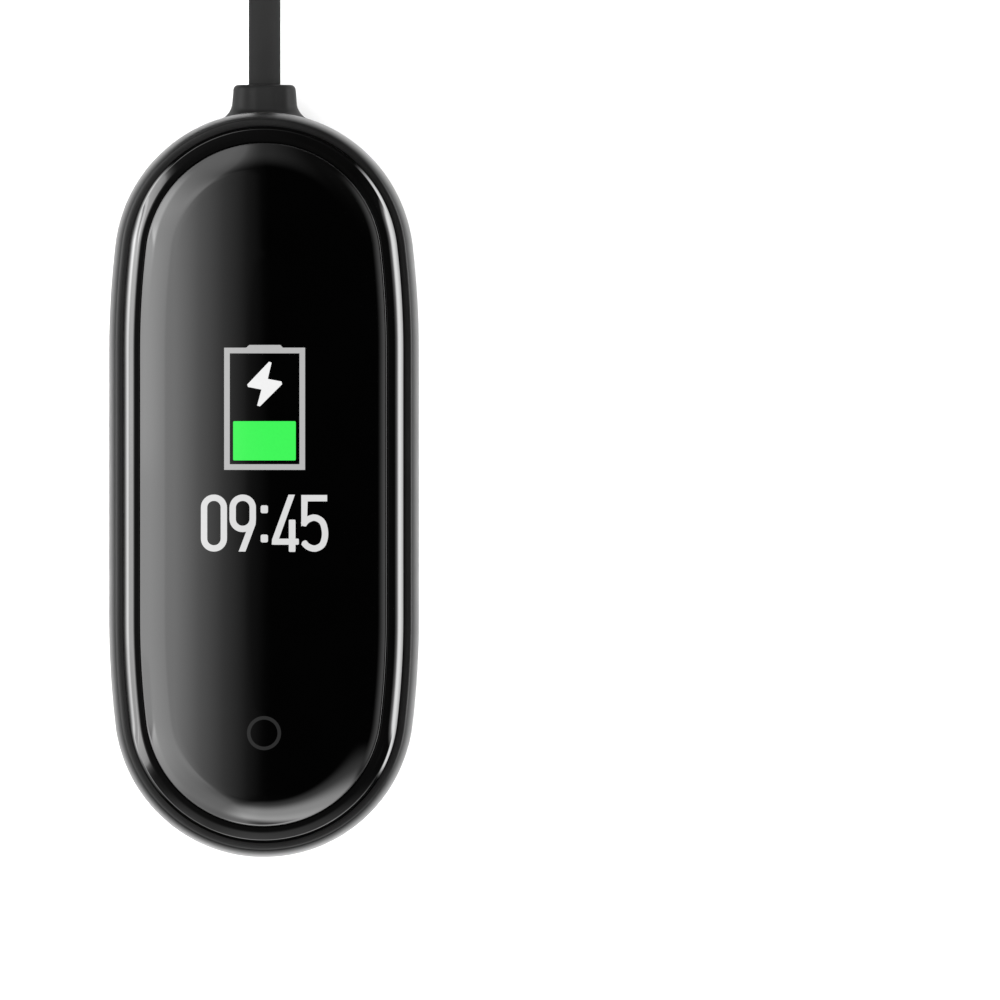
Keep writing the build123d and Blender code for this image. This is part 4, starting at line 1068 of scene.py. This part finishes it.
def stroke(path, width):
    """The outline of a stroke that follows a path, with softened ends."""
    half = width / 2
    left = []
    right = []
    for i, (x, y) in enumerate(path):
        ax, ay = path[max(i - 1, 0)]
        bx, by = path[min(i + 1, len(path) - 1)]
        length = math.hypot(bx - ax, by - ay)
        nx, ny = -(by - ay) / length, (bx - ax) / length
        left.append((x + half * nx, y + half * ny))
        right.append((x - half * nx, y - half * ny))

    def cap(tip, before, first, second):
        """Points from first to second round a tip of the path, which bulge outwards."""
        length = math.hypot(tip[0] - before[0], tip[1] - before[1])
        dx, dy = (tip[0] - before[0]) / length, (tip[1] - before[1]) / length
        points = []
        for share in (0.2, 0.5, 0.8):
            out = 0.1 * math.sin(math.pi * share)
            points.append(
                (
                    first[0] + (second[0] - first[0]) * share + dx * out,
                    first[1] + (second[1] - first[1]) * share + dy * out,
                )
            )
        return points

    end = cap(path[-1], path[-2], left[-1], right[-1])
    start = cap(path[0], path[1], right[0], left[0])
    return left + end + right[::-1] + start


LINE = 0.42
CIRCLE_STEPS = 64
TOUCH_X = 0.05
TOUCH_Y = -16.33
TOUCH_OUTER = 1.12
TOUCH_INNER = 0.89


def stadium(x0, x1, y0, y1):
    """A digit's closed loop, with round ends and a line's width."""
    corner = (x1 - x0) / 2
    outer = rectangle(x0, y0, x1, y1, corner - 0.01, 10)
    inner = rectangle(x0 + LINE, y0 + LINE, x1 - LINE, y1 - LINE, corner - LINE - 0.01, 10)
    return [outer, inner]


def build_screen():
    """The screen's lit shapes, a battery sign with a bolt and a clock's four digits, and the touch ring, a
    print whose faint grey is a painted glow.
    """
    white = glowing_material("screen_white", (0.92, 0.92, 0.92, 1.0), 0.8)
    bolt_white = glowing_material("screen_bolt", (1.0, 1.0, 1.0, 1.0), 0.92)
    light = glowing_material("screen_grey", (0.62, 0.62, 0.62, 1.0), 0.8)
    green = glowing_material("screen_green", (0.055, 1.0, 0.11, 1.0), 0.95)
    # The touch ring is a printed mark. Its faint grey is painted light, a glow that stands in for the print
    # lit by the room.
    ring_glow_paint = glowing_material("touch_ring_painted_glow", (0.08, 0.08, 0.08, 1.0), 0.3)

    frame_outer = [
        (-2.57, 0.97),
        (2.75, 0.97),
        (2.75, 9.0),
        (1.29, 9.0),
        (1.13, 9.18),
        (-0.92, 9.18),
        (-1.12, 9.0),
        (-2.57, 9.0),
    ]
    frame_inner = rectangle(-2.2, 1.34, 2.38, 8.63)
    lay_on_glass("screen_battery_frame", [[frame_outer, frame_inner]], light)
    lay_on_glass("screen_battery_level", [[rectangle(-1.98, 1.59, 2.14, 4.17, 0.08)]], green)
    bolt = [(0.55, 8.02), (0.3, 6.95), (1.2, 6.78), (1.24, 6.6), (-0.22, 5.14), (-0.4, 5.2)]
    bolt += [(-0.12, 6.25), (-1.0, 6.42), (-1.05, 6.58), (0.38, 8.08)]
    lay_on_glass("screen_charging_bolt", [[bolt]], bolt_white)

    lay_on_glass("screen_digit_hours_tens", [stadium(-4.1, -2.38, -4.4, -0.65)], white)
    lay_on_glass("screen_digit_hours_ones", [stadium(-2.22, -0.48, -3.12, -0.65)], white)
    leg = [(-0.48, -2.2), (-0.5, -2.6), (-0.68, -3.1), (-1.17, -4.4), (-1.62, -4.4), (-1.1, -3.03)]
    leg += [(-0.92, -2.75), (-0.88, -2.3)]
    lay_on_glass("screen_digit_hours_leg", [[leg]], white, 0.012)
    dots = [[rectangle(-0.17, -1.88, 0.31, -1.36, 0.12)], [rectangle(-0.17, -3.8, 0.31, -3.28, 0.12)]]
    lay_on_glass("screen_colon", dots, white)
    diagonal = [(1.66, -0.66), (2.08, -0.66), (1.02, -3.6), (0.98, -3.94), (0.56, -3.94), (0.58, -3.6)]
    lay_on_glass("screen_digit_minutes_diagonal", [[diagonal]], white)
    lay_on_glass("screen_digit_minutes_bar", [[rectangle(0.6, -3.95, 2.34, -3.55, 0.08)]], white, 0.012)
    lay_on_glass("screen_digit_minutes_stub", [[rectangle(1.68, -4.42, 2.12, -2.3, 0.08)]], white, 0.014)
    corner = [(2.5, -0.68), (4.2, -0.68), (4.2, -1.1), (2.92, -1.1), (2.88, -2.5), (2.5, -2.75)]
    lay_on_glass("screen_digit_minutes_top", [[corner]], white)
    bowl = smooth_path(
        [
            (2.64, -2.62),
            (2.9, -2.32),
            (3.38, -2.17),
            (3.85, -2.42),
            (4.04, -2.95),
            (4.04, -3.5),
            (3.85, -3.98),
            (3.4, -4.2),
            (2.95, -4.08),
            (2.66, -3.8),
        ]
    )
    lay_on_glass("screen_digit_minutes_bowl", [[stroke(bowl, LINE)]], white, 0.012)

    # The printed touch ring, drawn with a painted glow in place of lit ink.
    touch_ring = []
    for radius in (TOUCH_OUTER, TOUCH_INNER):
        turns = [2 * math.pi * step / CIRCLE_STEPS for step in range(CIRCLE_STEPS)]
        touch_ring.append([(TOUCH_X + radius * math.cos(t), TOUCH_Y + radius * math.sin(t)) for t in turns])
    lay_on_glass("touch_ring", [touch_ring], ring_glow_paint)


build_dock()
build_tabs()
build_springs()
build_tie()
build_neck()
build_housing()
build_glass()
build_screen()


# ---------------------------------------------------------------- finishes of the CAD pieces
finishes = {
    "dock_plastic": BLACK_PLASTIC,
    "contact_plastic": moulded("contact_moulding", grey(0.01), grey(0.018), 0.3, 0.42, 4200, 0.01),
    "nickel": metal("nickel_plate", (0.62, 0.6, 0.56, 1), (0.5, 0.47, 0.43, 1), 0.2, 0.38),
    "spring_steel": SPRING_STEEL,
    "gold": metal("gold_plate", (0.95, 0.68, 0.3, 1), (0.82, 0.55, 0.22, 1), 0.16, 0.32),
    "circuit_board": moulded("solder_mask", (0.004, 0.05, 0.02, 1), (0.008, 0.08, 0.03, 1), 0.3, 0.45, 1800),
    "chip_black": moulded("chip_epoxy", grey(0.012), grey(0.022), 0.5, 0.65, 6000, 0.01),
    "wire_red": moulded("wire_red_pvc", (0.4, 0.012, 0.01, 1), (0.5, 0.02, 0.015, 1), 0.35, 0.5, 3000),
    "wire_black": moulded("wire_black_pvc", grey(0.012), grey(0.02), 0.35, 0.5, 3000),
    "lead_rubber": LEAD_RUBBER,
    "tie_black": TIE_RUBBER,
    "plug_plastic": moulded("plug_moulding", grey(0.006), grey(0.01), 0.46, 0.58, 3800, 0.014, shine=0.14),
    "plug_steel": metal(
        "plug_steel_shell", (0.17, 0.17, 0.168, 1), (0.14, 0.14, 0.138, 1), 0.36, 0.46, (1, 0.08, 1)
    ),
    "plug_insulator": moulded("plug_tongue_moulding", grey(0.6), grey(0.7), 0.35, 0.5, 3000),
    "gasket_black": moulded("gasket_foam", grey(0.01), grey(0.02), 0.7, 0.85, 4000, 0.02),
    "display_black": moulded("display_stack", grey(0.004), grey(0.008), 0.1, 0.2),
    "flex_amber": moulded("flex_film", (0.5, 0.2, 0.03, 1), (0.6, 0.27, 0.05, 1), 0.25, 0.4),
    "frame_grey": moulded("frame_moulding", grey(0.1), grey(0.14), 0.45, 0.6, 3000),
    "battery_foil": metal("battery_pouch", (0.7, 0.71, 0.72, 1), (0.6, 0.61, 0.63, 1), 0.3, 0.5),
    "led_resin": moulded("led_lens", (0.1, 0.6, 0.2, 1), (0.15, 0.7, 0.3, 1), 0.12, 0.2),
    "sensor_glass": moulded("sensor_window_resin", grey(0.006), grey(0.01), 0.05, 0.1),
    "rotor_tungsten": metal("tungsten_weight", (0.35, 0.35, 0.36, 1), (0.27, 0.27, 0.28, 1), 0.35, 0.5),
}
for node in nodes.values():
    for material_slot in node.material_slots:
        if material_slot.material.name in finishes:
            material_slot.material = finishes[material_slot.material.name]

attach(lead, "dock")
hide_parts("lead_cable", "lead_coil", "lead_tail")
